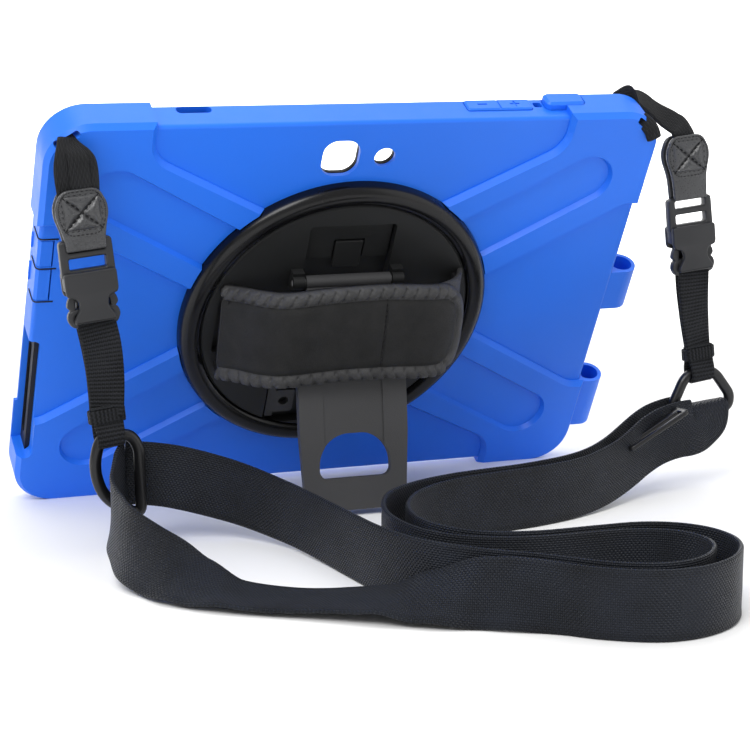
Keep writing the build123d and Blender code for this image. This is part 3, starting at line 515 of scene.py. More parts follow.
# ---- shoulder strap: the route's points are the middle of the tape, from the right ring to the left ------
TAPE_W, TAPE_T = 25.0, 1.6
CHAIN_TILT = math.radians(6)
BACK_ROUTE = [
    (134.2, -32.9, 36.7), (134.2, -29.4, 36.9), (134.0, -28.8, 31.5), (131.0, -28.6, 27.5),
    (121.0, -28.6, 27.5), (107.0, -32.0, 24.5), (89.2, -41.5, 16.5), (70.2, -53.8, 12.9),
    (45.2, -64.5, 12.6), (20.2, -69.1, 12.6), (-5.8, -73.9, 12.6), (-30.8, -88.3, 12.6),
    (-42.8, -112.3, 12.6), (-44.8, -139.3, 12.6), (-34.8, -162.3, 12.6), (-10.8, -173.3, 12.6),
    (14.2, -173.9, 12.6), (34.2, -175.3, 12.6), (47.2, -186.3, 12.6), (48.2, -202.3, 12.6),
    (37.2, -216.3, 12.6), (19.2, -221.3, 12.6), (1.2, -212.3, 12.6), (-13.8, -195.3, 12.6),
    (-31.8, -181.3, 12.6), (-45.8, -165.3, 12.6), (-53.8, -143.3, 12.6), (-56.8, -117.3, 12.6),
    (-59.8, -92.3, 12.9), (-65.8, -69.3, 14.5), (-77.8, -53.3, 18.5), (-94.8, -47.1, 24),
    (-111.8, -45.9, 28.5), (-124.8, -47.5, 30),
]
FRONT_ROUTE = [
    (134.2, -32.9, 36.7), (134.2, -36.4, 36.9), (134.0, -37.0, 31.5), (131.0, -37.6, 27.5),
    (121.0, -38.8, 27.5), (107.0, -41.6, 24.5), (89.2, -50.9, 16.5), (69.2, -62.3, 12.9),
    (45.2, -72.1, 12.6), (21.2, -76.3, 12.6), (-2.8, -81.3, 12.6), (-21.8, -94.3, 12.6),
    (-33.8, -113.3, 12.6), (-36.8, -136.3, 12.6), (-27.8, -157.3, 12.6), (-8.8, -166.3, 12.6),
    (15.2, -166.9, 12.6), (39.2, -166.3, 12.6), (56.2, -179.3, 12.6), (59.2, -201.3, 12.6),
    (44.2, -222.3, 12.6), (21.2, -230.3, 12.6), (-0.8, -221.3, 12.6), (-16.8, -204.3, 12.6),
    (-34.8, -190.3, 12.4), (-58, -171, 7.0), (-82.8, -152, 3.2), (-107.8, -136.5, 3.2),
    (-126.8, -118, 10), (-135.8, -98.3, 14.5), (-136.8, -77.3, 20), (-130.8, -61.8, 27),
    (-128, -54.5, 29.5), (-124.6, -49.2, 30.5),
]
BACK_ROLL = [(0, 0), (1, 0)]
FRONT_ROLL = [
    (0, 0), (0.66, 0), (0.705, 22), (0.74, 60), (0.765, 84), (0.80, 88), (0.845, 86), (0.87, 66), (0.895, 36),
    (0.94, 10), (0.97, 0),
]
RING_TURN_REACH = 0.06


def strand(name, node, route, roll):
    """One of the tape's two strands. Its roll is in degrees, by the share of its length that is behind."""
    line = nurbs([mm(*point) for point in route])
    gone = lengths_along(line)
    sides = []
    bar = Vector((-math.cos(CHAIN_TILT), 0, -math.sin(CHAIN_TILT)))
    for way, far in zip(tangents(line), gone):
        # along the ring's bar where the tape turns over it, upright from there on
        on_bar = 1 - between([(0.25, 0), (0.85, 1)], -way.x) if far < RING_TURN_REACH else 0.0
        upright = bar * on_bar + Vector((0, 0, 1)) * (1 - on_bar)
        upright = (upright - way * way.dot(upright)).normalized()
        turn = Matrix.Rotation(math.radians(between(roll, far / gone[-1])), 3, way)
        sides.append(turn @ upright)
    section = strip_section(TAPE_W, TAPE_T, lip=0.12)
    piece = band(name, line, sides, section, TAPE, wobble=0.00035, seed=len(name))
    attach(piece, "case")
    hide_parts(node)
    return piece, line


back_strand, back_line = strand("strap_back_strand", "shoulder_strap_back", BACK_ROUTE, BACK_ROLL)
front_strand, front_line = strand("strap_front_strand", "shoulder_strap_front", FRONT_ROUTE, FRONT_ROLL)

# ---- hanging straps ---------------------------------------------------------------------------------------
PATCH_H, SOCKET_H, MALE_H, WEBBING_H, KEEPER_H, GAP = 16.5, 23.5, 8.0, 28.0, 13.0, 0.3
PATCH_HALF_W, PATCH_TOP = 10.0, 0.6
QUILT_HALF_W, QUILT_LOW, QUILT_HIGH, QUILT_RISE, QUILT_STEPS = 7.4, -14.9, -1.5, 1.9, 36
BUCKLE_HALF_W, SLOT_HALF_W, BUCKLE_NARROWING = 11.2, 7.9, 0.9
FOLD_R, FOLD_Z, FOLD_OVERLAP = 3.4, 1.6, 0.6
WRAP_STEPS, WRAP_HALF_W, WRAP_HALF_T = 40, 6.6, 3.0


def chain_matrix(origin, tilt=CHAIN_TILT):
    """Local x across the strap, y up it, z out towards -Y, in metres from its origin."""
    across = Vector((math.cos(tilt), 0, math.sin(tilt)))
    up = Vector((-math.sin(tilt), 0, math.cos(tilt)))
    out = Vector((0, -1, 0))
    return axes_matrix(across, up, out, origin)


def placed(matrix, x, y, z=0.0):
    return matrix @ Vector((x * MM, y * MM, z * MM))


def quilted_patch(name, matrix, tail, face, seed):
    """A leather shield with a tab below. Its stitched box is quilted into four pillows."""
    half_w, top = PATCH_HALF_W, PATCH_TOP
    outline = rounded(
        [(-7.2, top), (7.2, top), (half_w, -5.5), (half_w, -9.5), (8.0, -PATCH_H), (7.6, -tail),
         (-7.6, -tail), (-8.0, -PATCH_H), (-half_w, -9.5), (-half_w, -5.5)],
        [6, 6, 4, 4, 5, 0.6, 0.6, 5, 4, 4],
    )
    back = plate(name, [outline], 2.0, 0.7, matrix @ Matrix.Translation((0, 0, face * MM * 2.4)), PATCH)
    # pillows between the box's stitches
    box_w, box_lo, box_hi, steps = QUILT_HALF_W, QUILT_LOW, QUILT_HIGH, QUILT_STEPS
    verts, faces = [], []
    for i in range(steps + 1):
        for k in range(steps + 1):
            x = -box_w + 2 * box_w * i / steps
            y = box_lo + (box_hi - box_lo) * k / steps
            fx, fy = x / box_w, (y - (box_lo + box_hi) / 2) / ((box_hi - box_lo) / 2)
            edge = max(abs(fx), abs(fy))
            seam = min(abs(abs(fx) - abs(fy)), 1 - edge)
            rise = QUILT_RISE * (1 - math.exp(-seam * 3.6)) + 0.05 * noise.noise(Vector((x, y, seed)))
            sink = 0.5 * max(0.0, (edge - 0.9) / 0.1)
            verts.append(placed(matrix, x, y, face * (3.25 + rise - sink)))
    for i in range(steps):
        for k in range(steps):
            a = i * (steps + 1) + k
            faces.append((a, a + 1, a + steps + 2, a + steps + 1))
    mesh = new_mesh(name + "_quilt", verts, faces)
    shape = bmesh.new()
    shape.from_mesh(mesh)
    rim = [e for e in shape.edges if e.is_boundary]
    deep = bmesh.ops.extrude_edge_only(shape, edges=rim)
    sunk = [g for g in deep["geom"] if isinstance(g, bmesh.types.BMVert)]
    bmesh.ops.translate(shape, verts=sunk, vec=matrix.to_3x3() @ Vector((0, 0, -face * 1.2 * MM)))
    bmesh.ops.holes_fill(shape, edges=[e for e in shape.edges if e.is_boundary], sides=0)
    bmesh.ops.recalc_face_normals(shape, faces=shape.faces)
    shape.to_mesh(mesh)
    shape.free()
    quilt = new_object(name + "_quilt", mesh, PATCH)
    normal = (matrix.to_3x3() @ Vector((0, 0, face))).normalized()
    corners = [(-box_w, box_lo), (box_w, box_lo), (box_w, box_hi), (-box_w, box_hi)]
    runs = []
    for a, b in [(0, 1), (1, 2), (2, 3), (3, 0), (0, 2), (1, 3)]:
        level = face * (3.05 if (a + b) % 2 else 3.5)
        runs.append((placed(matrix, *corners[a], level), placed(matrix, *corners[b], level), normal))
    thread = stitches(name + "_thread", runs, 0.28, THREAD)
    rim_runs = []
    inset = rounded(
        [(-6.4, top - 0.9), (6.4, top - 0.9), (half_w - 1.1, -5.6), (half_w - 1.1, -9.3), (7.0, -PATCH_H),
         (-7.0, -PATCH_H), (-half_w + 1.1, -9.3), (-half_w + 1.1, -5.6)], 5)
    level = face * 3.25
    for a, b in zip(inset, inset[1:] + inset[:1]):
        if (Vector(b) - Vector(a)).length > 0.3:
            rim_runs.append((placed(matrix, *a, level), placed(matrix, *b, level), normal))
    seam = stitches(name + "_rim_thread", rim_runs, 0.2, THREAD, gap=1.7)
    return [back, quilt, thread, seam]


def bar_slot(high, low, radius):
    """The outline of a slot for the strap, between two heights."""
    return rounded([(-SLOT_HALF_W, high), (-SLOT_HALF_W, low), (SLOT_HALF_W, low), (SLOT_HALF_W, high)], radius)


def buckle(side, matrix, top):
    """The socket with its ladder bar and side windows, and the tongue with two latch arms and its own bar."""
    matrix = matrix @ Matrix.Diagonal((BUCKLE_NARROWING, 1, 1, 1))
    body_top, body_low = top - 12.0, top - 31.5
    half = BUCKLE_HALF_W
    ladder_outline = rounded(
        [(-half, top), (half, top), (half + 0.2, body_top - 2), (-half - 0.2, body_top - 2)],
        [2.0, 2.0, 0.5, 0.5])
    slot_a = bar_slot(top - 1.2, top - 4.4, 0.8)
    slot_b = bar_slot(top - 7.0, top - 11.2, 0.9)
    ladder = plate(f"buckle_ladder_{side}", [ladder_outline, slot_a, slot_b], 4.6, 0.9, matrix, BUCKLE)
    body_outline = rounded(
        [(-half, body_top), (half, body_top), (half, body_top - 7.5), (half - 0.6, body_top - 9.0),
         (half - 4.6, body_top - 10.2), (half - 5.2, body_top - 13.6), (half - 2.2, body_low + 1.6),
         (half - 2.4, body_low), (-half + 2.4, body_low), (-half + 2.2, body_low + 1.6),
         (-half + 5.2, body_top - 13.6), (-half + 4.6, body_top - 10.2), (-half + 0.6, body_top - 9.0),
         (-half, body_top - 7.5)],
        [1.4, 1.4, 1.2, 1.0, 2.4, 2.4, 1.6, 0.5, 0.5, 1.6, 2.4, 2.4, 1.0, 1.2],
    )
    pieces = [ladder]
    for label, z in (("front", 3.2), ("back", -3.2)):
        lift = matrix @ Matrix.Translation((0, 0, z * MM))
        pieces.append(plate(f"buckle_{label}_{side}", [body_outline], 2.4, 0.8, lift, BUCKLE))
    throat_w, throat_low = half - 0.2, body_top - 7.2
    throat = rounded(
        [(-throat_w, body_top), (throat_w, body_top), (throat_w, throat_low), (-throat_w, throat_low)], 1.0)
    pieces.append(plate(f"buckle_throat_{side}", [throat], 4.4, 0.4, matrix, BUCKLE))
    for piece in pieces:
        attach(piece, "case")
        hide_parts(f"buckle_socket_{side}")
    arms = []
    for sign in (-1, 1):
        arms.append(rounded(
            [(sign * x, y) for x, y in (
                (7.2, body_low + 3.5), (7.4, body_top - 12.6), (6.6, body_top - 8.6), (8.4, body_top - 8.2),
                (10.4, body_top - 10.6), (11.0, body_top - 13.2), (9.6, body_top - 14.4),
                (9.9, body_low + 3.5))],
            [0.6, 1.2, 1.2, 1.2, 1.6, 1.0, 1.2, 0.6]))
    base = rounded(
        [(-10.4, body_low + 5.0), (-7.0, body_low + 5.6), (7.0, body_low + 5.6), (10.4, body_low + 5.0),
         (11.5, body_low + 1.8), (9.8, body_low - 1.2), (7.6, body_low - 1.8), (-7.6, body_low - 1.8),
         (-9.8, body_low - 1.2), (-11.5, body_low + 1.8)],
        [2.2, 0.6, 0.6, 2.2, 2.2, 1.4, 0.8, 0.8, 1.4, 2.2])
    base_slot = bar_slot(body_low + 3.2, body_low + 1.0, 0.6)
    tongue = [plate(f"buckle_base_{side}", [base, base_slot], 3.6, 0.8, matrix, BUCKLE)]
    guide_low, guide_top = body_low + 4, body_top - 8.6
    guide = rounded([(-1.6, guide_low), (1.6, guide_low), (1.4, guide_top), (-1.4, guide_top)], 0.6)
    for label, outline in (("arm_a", arms[0]), ("arm_b", arms[1]), ("guide", guide)):
        tongue.append(plate(f"buckle_{label}_{side}", [outline], 3.2, 0.6, matrix, BUCKLE))
    for piece in tongue:
        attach(piece, f"tongue_{side}")
        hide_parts(f"buckle_tongue_{side}")
    return body_low - 1.2


def fold_line(matrix, keeper_top, bar_y):
    """Down in front of the ring's bar, round it and up behind it."""
    start = keeper_top + FOLD_OVERLAP
    middle = (start + bar_y) / 2
    above, below, out = bar_y + FOLD_R * 0.6, bar_y - FOLD_R * 0.55, FOLD_R * 1.05
    points = [
        (start, FOLD_Z), (middle, FOLD_Z), (above, out), (below, out), (bar_y - FOLD_R * 1.2, 0),
        (below, -out), (above, -out), (middle, -FOLD_Z), (start - FOLD_OVERLAP, -FOLD_Z),
    ]
    return nurbs([placed(matrix, 0, y, z) for y, z in points], 10)


def fanned(f):
    """The left elastic leaves its slot bunched to half its width and opens out."""
    return 0.5 + 0.5 * min(1.0, f / 0.55)


def narrowed(f):
    """The webbing is pulled a little narrower towards the keeper."""
    return 1.0 - 0.14 * f * f


def pinched(f):
    """The keeper's fold is drawn in where it turns over the ring."""
    return 1.0 - 0.12 * math.sin(f * math.pi) ** 2


def hanging_strap(side, matrix, tongue_h, elastic_runs, bend, tab_cut):
    """One side's chain from its slot down to its ring: elastic, patches, buckle, webbing and keeper."""
    across = matrix.to_3x3() @ Vector((1, 0, 0))
    out = matrix.to_3x3() @ Vector((0, 0, 1))
    # elastic: narrow bands from the slot in the case to between the two patches
    for i, (points, width, turn_keys) in enumerate(elastic_runs):
        line = nurbs(points, 14)
        piece = band(
            f"elastic_band_{side}_{i}", line, turned_sides(line, across, turn_keys),
            strip_section(width, 1.5, crown=0.25), ELASTIC, squeeze=fanned if side == "left" else None,
            wobble=0.0004, seed=i + 3)
        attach(piece, "case")
        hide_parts(f"elastic_loop_{side}")
    tail = PATCH_H + tongue_h - tab_cut
    for face, node in ((1, "leather_patch"), (-1, "patch_backing")):
        for piece in quilted_patch(f"{node}_{side}_skin", matrix, tail, face, 1.7 * face):
            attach(piece, "case")
            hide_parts(f"{node}_{side}")
    # the patch's tab is the loop round the buckle's ladder bar
    top = -(PATCH_H + tongue_h + GAP)
    low = buckle(side, matrix, top + 4.6)
    keeper_top = top - SOCKET_H - GAP - MALE_H - GAP - WEBBING_H - GAP
    bar_y = keeper_top - KEEPER_H + 1.5
    # webbing between tongue and keeper, doubled, and pulled narrow where it is folded
    for i, z in enumerate((1.0, -1.0)):
        start, end = low + 4.6, keeper_top - 3.0
        points = [placed(matrix, 0, start, z * 1.2)]
        for f in (0.2, 0.4, 0.6, 0.8):
            sideways, ripple = bend * math.sin(f * math.pi) * 1.6, 1 + 0.6 * math.sin(f * 7)
            points.append(placed(matrix, sideways, start + (end - start) * f, z * ripple))
        points.append(placed(matrix, 0, end, z))
        line = nurbs(points, 16)
        piece = band(
            f"webbing_{side}_{'front' if i == 0 else 'back'}", line,
            turned_sides(line, across, [(0, 0), (0.55, 14), (1, 26)], bend), strip_section(15.0, 1.5, lip=0.1),
            RIBBED, squeeze=narrowed, wobble=0.0004, seed=9 + i)
        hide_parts(f"webbing_{side}")
        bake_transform(piece)
    # keeper: the webbing folded round the ring, sewn across, with a second turn over it
    line = fold_line(matrix, keeper_top, bar_y)
    fold = band(
        f"keeper_fold_{side}", line, [across] * len(line), strip_section(12.0, 1.6, lip=0.1), RIBBED,
        squeeze=pinched, wobble=0.0003, seed=5)
    wrap_line = []
    for k in range(WRAP_STEPS + 1):
        turn = math.tau * k / WRAP_STEPS
        x = WRAP_HALF_W * math.copysign(abs(math.cos(turn)) ** 0.45, math.cos(turn))
        z = WRAP_HALF_T * math.copysign(abs(math.sin(turn)) ** 0.6, math.sin(turn))
        wider, thicker = 1 + 0.02 * k / WRAP_STEPS, 1 + 0.08 * k / WRAP_STEPS
        wrap_line.append(placed(matrix, x * wider, keeper_top - 2.6 - 0.03 * k, z * thicker))
    upright = matrix.to_3x3() @ Vector((0, 1, 0))
    wrap = band(
        f"keeper_wrap_{side}", wrap_line, [upright] * len(wrap_line), strip_section(5.2, 1.1, lip=0.1), RIBBED)
    runs = []
    for y in (keeper_top - 5.9, keeper_top - 7.4):
        for z, face in ((2.5, out), (-2.5, -out)):
            runs.append((placed(matrix, -5.0, y, z), placed(matrix, 5.0, y, z), face))
    thread = stitches(f"keeper_thread_{side}", runs, 0.25, THREAD, gap=1.6)
    for piece in (fold, wrap, thread):
        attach(piece, "case")
        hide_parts(f"keeper_{side}")


LEFT_ORIGIN = Vector((-140.8, -52.63, 140.0))
RIGHT_ORIGIN = Vector((123.2, -32.9, 152.5))
left_matrix = chain_matrix(LEFT_ORIGIN * MM)
right_matrix = chain_matrix(RIGHT_ORIGIN * MM)
LEFT_SLOT = (-120.44, 181.97)
left_runs = []
for shift, lift, width in ((-4.2, 0.2, 7.6), (1.2, 1.5, 7.8), (5.0, 0.4, 6.4)):
    left_runs.append((
        [case_point(LEFT_SLOT[0] + shift * 0.2, LEFT_SLOT[1] - 1.5, -4),
         case_point(LEFT_SLOT[0] + shift * 0.25, LEFT_SLOT[1] + 0.2, 2.2),
         case_point(LEFT_SLOT[0] + shift * 0.35, LEFT_SLOT[1] - 0.4, 4.6 + lift),
         placed(left_matrix, shift * 0.9, 12.5, 1.6 + lift),
         placed(left_matrix, shift * 1.15, 6.0, 0.6 + lift),
         placed(left_matrix, shift * 0.95, -3.5, 0.2 + lift * 0.3)],
        width, [(0, 0), (1, 0)]))
RIGHT_SLOT = (120.44, 181.97)
right_runs = [
    ([case_point(RIGHT_SLOT[0] - 7, RIGHT_SLOT[1] - 4, -15.9),
      case_point(RIGHT_SLOT[0] - 2, RIGHT_SLOT[1] + 1.0, -17.2),
      case_point(RIGHT_SLOT[0] + 3.5, RIGHT_SLOT[1] + 2.4, -16.6),
      placed(right_matrix, -10.5, 10.6, -0.6),
      placed(right_matrix, -4.6, 6.6, -0.6),
      placed(right_matrix, -1.0, 3.5, -0.2),
      placed(right_matrix, 0.0, -3.5, 0)],
     10.5, [(0, -52), (0.45, -46), (0.8, -20), (1, 0)]),
    ([case_point(RIGHT_SLOT[0] - 4, RIGHT_SLOT[1] - 1, -17.3),
      case_point(RIGHT_SLOT[0] + 2.5, RIGHT_SLOT[1] + 2.8, -18.0),
      placed(right_matrix, -11.6, 11.2, -2.6),
      placed(right_matrix, -5.6, 7.6, -2.4),
      placed(right_matrix, 0.5, 4.5, -1.2),
      placed(right_matrix, 1.5, -3.5, -0.6)],
     10.0, [(0, -56), (0.45, -44), (0.8, -18), (1, 0)]),
]
# the elastic's sewn end, which stands out of the right slot
stub_points = [case_point(118.6, 183.6, -1.0), case_point(120.2, 183.0, 2.6), case_point(122.6, 180.6, 4.2),
               case_point(124.4, 177.0, 4.0)]
stub_line = nurbs(stub_points, 14)
stub_side = (ACROSS * 0.82 + UP * 0.57).normalized()
stub = band(
    "elastic_stub_right", stub_line, [stub_side] * len(stub_line), strip_section(6.4, 1.5, crown=0.25), ELASTIC,
    wobble=0.0003)
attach(stub, "case")
hanging_strap("left", left_matrix, 6.0, left_runs, 1.0, 0.0)
hanging_strap("right", right_matrix, 13.5, right_runs, -0.6, 3.4)

# the rings' wires, in the frame of the bar that each keeper is folded round
RING_WIRE_R = 2.3
RIGHT_RING_BAR = Vector((133.88, -32.9, 50.86))
LEFT_RING_BAR = Vector((-130.90, -52.63, 45.82))
LEFT_RING = [(-3.5, 0.3), (8, 0.3), (11.4, -5), (12, -32), (-2.5, -24.5), (-6.5, -12)]
RIGHT_RING = [(-6.5, 0), (6.5, 0), (14, -12.5), (12.5, -17.6), (-12.5, -17.6), (-14, -12.5)]
for side, origin, points, tilt, bends in (
    ("left", LEFT_RING_BAR, LEFT_RING, 0.0, [5, 4, 7, 5, 12, 9]),
    ("right", RIGHT_RING_BAR, RIGHT_RING, CHAIN_TILT, [5, 5, 8, 4, 4, 8]),
):
    matrix = chain_matrix(origin * MM, tilt)
    loop = [placed(matrix, x, y) for x, y in rounded(points, bends, 8)]
    wire = tube(f"ring_wire_{side}", loop, RING_WIRE_R * MM, LOOP, closed=True)
    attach(wire, "case")
    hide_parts(f"strap_ring_{side}")

# slide buckle where the tape comes off the right-hand ring, seen almost edge-on
slide_x = Vector((0.877, 0.0, 0.48)).normalized()
slide_y = Vector((0.0, 0.975, -0.12))
slide_y = (slide_y - slide_x * slide_y.dot(slide_x)).normalized()
slide_z = slide_x.cross(slide_y)
slide_at = mm(105.5, -44.0, 30.0)
slide_matrix = axes_matrix(slide_x, slide_y, slide_z, slide_at)
slide_outline = rounded([(-15.5, -9), (15.5, -9), (15.5, 9), (-15.5, 9)], 2.5)
slide_slots = [rounded([(-13, y), (13, y), (13, y + 4.4), (-13, y + 4.4)], 1.0) for y in (-6.8, 2.4)]
slide = plate("slide_buckle", [slide_outline, *slide_slots], 2.0, 0.7, slide_matrix, LOOP)
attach(slide, "case")
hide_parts("strap_adjuster")

# ---- the panel and tab in the recess above the leg's pivot --------------------------------------------------
RECESS_H = 0.6


def on_back(h):
    """Local x across the case and y up it, h out of its back."""
    return axes_matrix(ACROSS, UP, OUT, (CASE_ORIGIN + OUT * h) * MM)


panel_outline = rounded(
    [(-17.6, 121.5), (-6.6, 121.5), (-6.6, 130.5), (6.6, 130.5), (6.6, 121.5), (17.6, 121.5), (17.6, 138.2),
     (-17.6, 138.2)], 0.5)
tab_outline = rounded([(-5.9, 117.0), (5.9, 117.0), (5.9, 129.8), (-5.9, 129.8)], [1.2, 1.2, 0.4, 0.4])
spring_panel = plate("spring_panel", [panel_outline], 1.2, 0.25, on_back(RECESS_H + 1.4), DISC)
spring_tab = plate("spring_tab", [tab_outline], 1.2, 0.3, on_back(RECESS_H + 1.9), DISC)
for piece in (spring_panel, spring_tab):
    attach(piece, "stand")
    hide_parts("leaf_spring")

# ---- retaining ring: a turned section ---------------------------------------------------------------------
DISC_T = 90.7
ring_section = rounded(
    [(57.9, -0.4), (57.9, 5.0), (60.2, 6.7), (63.6, 6.7), (66.4, 4.4), (66.7, -0.4)],
    [0.2, 1.4, 2.2, 2.6, 3.0, 0.2], 6)
verts, faces = [], []
TURNS = 180
for i in range(TURNS):
    turn = math.tau * i / TURNS
    for r, h in ring_section:
        verts.append(case_point(r * math.cos(turn), DISC_T + r * math.sin(turn), h))
for i in range(TURNS):
    for k in range(len(ring_section)):
        a, b = k, (k + 1) % len(ring_section)
        here, after = i * len(ring_section), (i + 1) % TURNS * len(ring_section)
        faces.append((here + a, here + b, after + b, after + a))
mesh = new_mesh("turned_ring", verts, faces)
fix_normals(mesh)
turned_ring = new_object("turned_ring", mesh, GLOSS)
sharpen(turned_ring, 50)
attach(turned_ring, "case")
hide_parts("retaining_ring")

# ---- painted shade of the slits at the edges of the two side flaps: thin dark tubes on the skin -----------
SLIT_SHADE_R, SLIT_SHADE_STEPS, SLIT_SHADE_REACH = 0.32, 18, 0.03
skin = bpy.data.objects["outer_skin"]
inverse = skin.matrix_world.inverted()
for i, t in enumerate((134.6, 120.4, 104.2)):
    # the skin's surface, felt from outside towards a line inside its rounded edge
    line = []
    centre = case_point(-119.0, t, -7.0)
    for k in range(SLIT_SHADE_STEPS + 1):
        turn = math.radians(-12 + 100 * k / SLIT_SHADE_STEPS)
        ray = ACROSS * -math.cos(turn) + OUT * math.sin(turn)
        start = inverse @ (centre + ray * SLIT_SHADE_REACH)
        hit, place, _, _ = skin.ray_cast(start, inverse.to_3x3() @ -ray)
        if hit:
            line.append(skin.matrix_world @ place + ray * 0.0001)
    if len(line) > 4:
        # a thin tube of the dark shell plastic, just outside the skin: painted shade where the slit is
        slit_shade = tube(f"flap_slit_shade_{i}", line, SLIT_SHADE_R * MM, SHELL)
        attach(slit_shade, "case")

# ---- hand strap: padded band with a laced edging -----------------------------------------------------------
HAND_TILT = math.radians(12)
HAND_TOP_T, HAND_TOP_H, HAND_W = 104.5, 32.0, 42.0
LEFT_SAG, RIGHT_SAG, SAG_REACH, SAG_START = 7.5, 5.0, 47.0, 1.0
EDGE_W, LACE, LACE_SLANT, LACE_W = 5.4, 5.0, 0.55, 0.13
HOLE_PLACES, HOLE_SLANT, HOLE_R = (0.22, 0.86), 0.5, 0.30
ROLL_H, LACE_DEPTH, HOLE_DEPTH = 1.35, 0.6, 1.0
COLUMNS, ROWS = 230, 72
RIGHT_R, MIN_HALF_W, PAD_RISE, PAD_SINK = 18.0, 3.0, 1.9, 1.9
PANEL_CROWN, CREASE_DEPTH, CREASE_W = 0.55, 0.35, 0.5
SEAM_S, SEAM_DEPTH, SEAM_W = 9.0, 0.55, 0.45
hand_dir = UP * math.cos(HAND_TILT) - OUT * math.sin(HAND_TILT)
hand_up = UP * math.sin(HAND_TILT) + OUT * math.cos(HAND_TILT)


def hand_point(s, v, rise):
    """s across the case, v along the strap's width from its middle, rise above the strap's top line."""
    base = CASE_ORIGIN + ACROSS * s + UP * HAND_TOP_T + OUT * HAND_TOP_H
    sag = (LEFT_SAG if s < 0 else RIGHT_SAG) * (abs(s) / SAG_REACH) ** 2 - SAG_START
    return (base + hand_dir * (v - sag) + hand_up * rise) * MM


profile = [
    (-50.2, -24.0), (-48.6, -21.8), (-45.0, -17.5), (-38.5, -8.5), (-30.0, -1.4), (-15, 0.3), (0, 0.8),
    (15, 0.3), (28.0, -0.6), (37.0, -4.0), (43.0, -8.5), (47.5, -13.0),
]
hand_line = nurbs([Vector((s, r, 0)) for s, r in profile])
hand_gone = lengths_along(hand_line)
hand_total = hand_gone[-1]


def line_at(distance):
    """The strap's middle line at a distance along it: its place and its direction."""
    for i, (a, b) in enumerate(zip(hand_gone, hand_gone[1:])):
        if distance <= b or i == len(hand_gone) - 2:
            f = (distance - a) / (b - a)
            here = hand_line[i].lerp(hand_line[i + 1], f)
            way = (hand_line[i + 1] - hand_line[i]).normalized()
            return here, way


def laced(from_edge, along):
    """Height of the edging: a rolled band, drawn in by a lace that crosses it in slanted stitches."""
    if from_edge > EDGE_W + 0.5:
        return 0.0
    across = from_edge / EDGE_W
    roll = math.sqrt(max(0.0, 1 - (2 * min(across, 1.0) - 1) ** 2))
    phase = (along / LACE + LACE_SLANT * across) % 1.0
    pull = math.exp(-((phase - 0.5) / LACE_W) ** 2)
    hole = 0.0
    for place in HOLE_PLACES:
        ahead = ((along / LACE + HOLE_SLANT * place) % 1.0) - 0.5
        hole += math.exp(-(math.hypot((across - place) * 2.6, ahead * 2.4) / HOLE_R) ** 2)
    return ROLL_H * roll - LACE_DEPTH * pull * roll - HOLE_DEPTH * hole


verts, faces, gaps = [], [], []
for i in range(COLUMNS + 1):
    distance = hand_total * i / COLUMNS
    here, way = line_at(distance)
    from_end = hand_total - distance
    half = HAND_W / 2
    if from_end < RIGHT_R:
        half = HAND_W / 2 - RIGHT_R + math.sqrt(max(0.0, RIGHT_R**2 - (RIGHT_R - from_end) ** 2))
    half = max(half, MIN_HALF_W)
    lean_out = 1.8 * math.sin(math.pi * distance / hand_total)
    normal = Vector((-way.y, way.x))
    for k in range(ROWS + 1):
        v = -half + 2 * half * k / ROWS
        side_gap = half - abs(v)
        if from_end < RIGHT_R:
            corner_v = max(0.0, abs(v) - (HAND_W / 2 - RIGHT_R))
            gap = RIGHT_R - math.hypot(corner_v, RIGHT_R - from_end) if corner_v > 0 else from_end
            side_gap = max(0.0, min(gap, side_gap + 4))
        along = distance
        if from_end < RIGHT_R:
            along = hand_total - RIGHT_R + math.atan2(RIGHT_R - from_end, 8) * 10
        rise = PAD_RISE + laced(side_gap, along) + 0.35 * noise.noise(Vector((distance * 0.05, v * 0.06, 2.0)))
        if side_gap > EDGE_W:
            crown = min(1.0, (side_gap - EDGE_W) / 3.0)
            rise += PANEL_CROWN * crown
            rise -= CREASE_DEPTH * math.exp(-((side_gap - EDGE_W - 0.4) / CREASE_W) ** 2)
            rise -= SEAM_DEPTH * math.exp(-((here.x - SEAM_S) / SEAM_W) ** 2)
        rise -= 1.0 * max(0.0, 1 - side_gap / 0.9) ** 2
        bow = lean_out * (1 - (v / (HAND_W / 2)) ** 2) * 0.3
        lift = rise + bow
        verts.append(hand_point(here.x + normal.x * lift, v, here.y + normal.y * lift))
        gaps.append(side_gap)
for i in range(COLUMNS):
    for k in range(ROWS):
        a = i * (ROWS + 1) + k
        faces.append((a, a + ROWS + 1, a + ROWS + 2, a + 1))
mesh = new_mesh("hand_strap_pad", verts, faces)
mesh.materials.append(PANEL)
mesh.materials.append(EDGING)
for face in mesh.polygons:
    face.material_index = 1 if min(gaps[k] for k in face.vertices) < EDGE_W else 0
shape = bmesh.new()
shape.from_mesh(mesh)
top_faces = list(shape.faces)
rim = [e for e in shape.edges if e.is_boundary]
deep = bmesh.ops.extrude_edge_only(shape, edges=rim)
sunk = [g for g in deep["geom"] if isinstance(g, bmesh.types.BMVert)]
for vertex in sunk:
    vertex.co -= hand_up * (PAD_SINK * MM)
for face in deep["geom"]:
    if isinstance(face, bmesh.types.BMFace):
        face.material_index = 1
lower = bmesh.ops.duplicate(shape, geom=top_faces)
for g in lower["geom"]:
    if isinstance(g, bmesh.types.BMFace):
        g.material_index = 1
bottom_verts = [g for g in lower["geom"] if isinstance(g, bmesh.types.BMVert)]
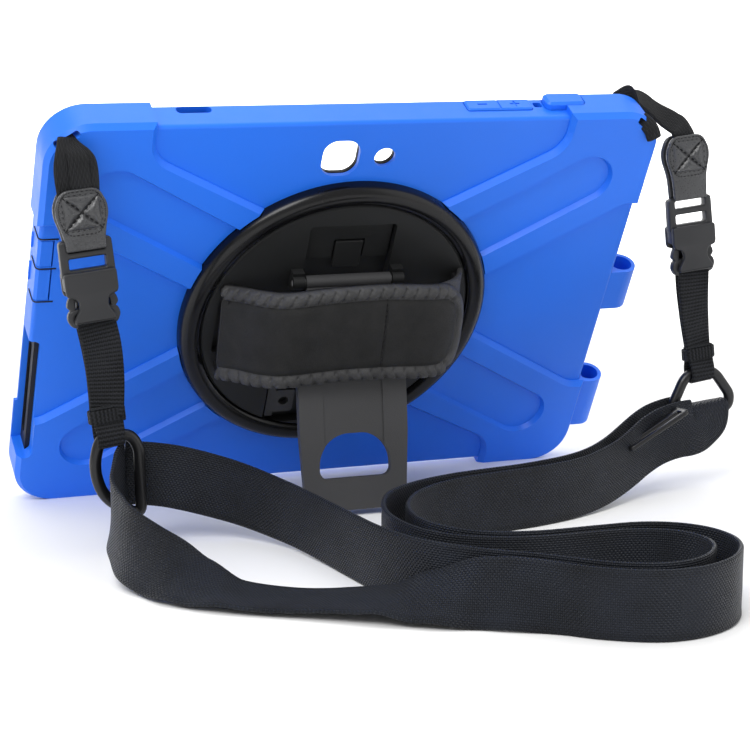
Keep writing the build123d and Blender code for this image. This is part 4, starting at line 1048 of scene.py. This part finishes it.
for vertex in bottom_verts:
    vertex.co -= hand_up * (PAD_SINK * MM)
bmesh.ops.remove_doubles(shape, verts=sunk + bottom_verts, dist=2e-6)
bmesh.ops.recalc_face_normals(shape, faces=shape.faces)
shape.to_mesh(mesh)
shape.free()
hand_pad = new_object("hand_strap_pad", mesh, None)


def from_seam(i):
    return abs(line_at(hand_total * i / COLUMNS)[0].x - SEAM_S)


column = min(range(COLUMNS + 1), key=from_seam) * (ROWS + 1)
seam_runs = []
for k in range(12, 58, 4):
    seam_runs.append((verts[column + k], verts[column + k + 4], hand_up))
pad_seam = stitches("hand_strap_seam", seam_runs, 0.34, THREAD, gap=2.6, proud=0.5)
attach(pad_seam, "stand")
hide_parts("hand_strap")
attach(hand_pad, "stand")
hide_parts("hand_strap")

# the tab at the strap's right end, which goes into its slot in the turntable
tab_places = [(34, 11.5, -6.5), (42, 12.5, -11.0), (48.5, 13.5, -17.5), (51.5, 13.5, -25.5)]
tab_line = nurbs([hand_point(*place) for place in tab_places])
tab = band(
    "hand_strap_tab", tab_line, [hand_dir] * len(tab_line), strip_section(15, 2.2, lip=0.2), EDGING,
    wobble=0.0003)
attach(tab, "stand")

# ---- floor: flat under the object and far behind it, then curved up into a backdrop ------------------------
FLOOR_HALF_W = 6
floor_profile = [
    (-4.0, 0.0), (0.6, 0.0), (0.9, 0.0), (1.0, 0.0), (1.6, 0.05), (2.1, 0.25), (2.5, 0.65), (2.7, 1.2),
    (2.75, 4.0),
]
floor_line = nurbs([Vector((0, y, z)) for y, z in floor_profile])
verts = [(x, point.y, max(point.z, 0.0)) for point in floor_line for x in (-FLOOR_HALF_W, FLOOR_HALF_W)]
faces = [(i, i + 1, i + 3, i + 2) for i in range(0, len(verts) - 2, 2)]
mesh = new_mesh("floor", verts, faces)
floor_look = Nodes("floor_look", (0.86, 0.86, 0.86), 0.75, specular=0.1)
floor_look.ramp(floor_look.noise(6, 2), (0.88, 0.88, 0.88), (0.9, 0.9, 0.9))
floor = new_object("floor", mesh, floor_look.material)
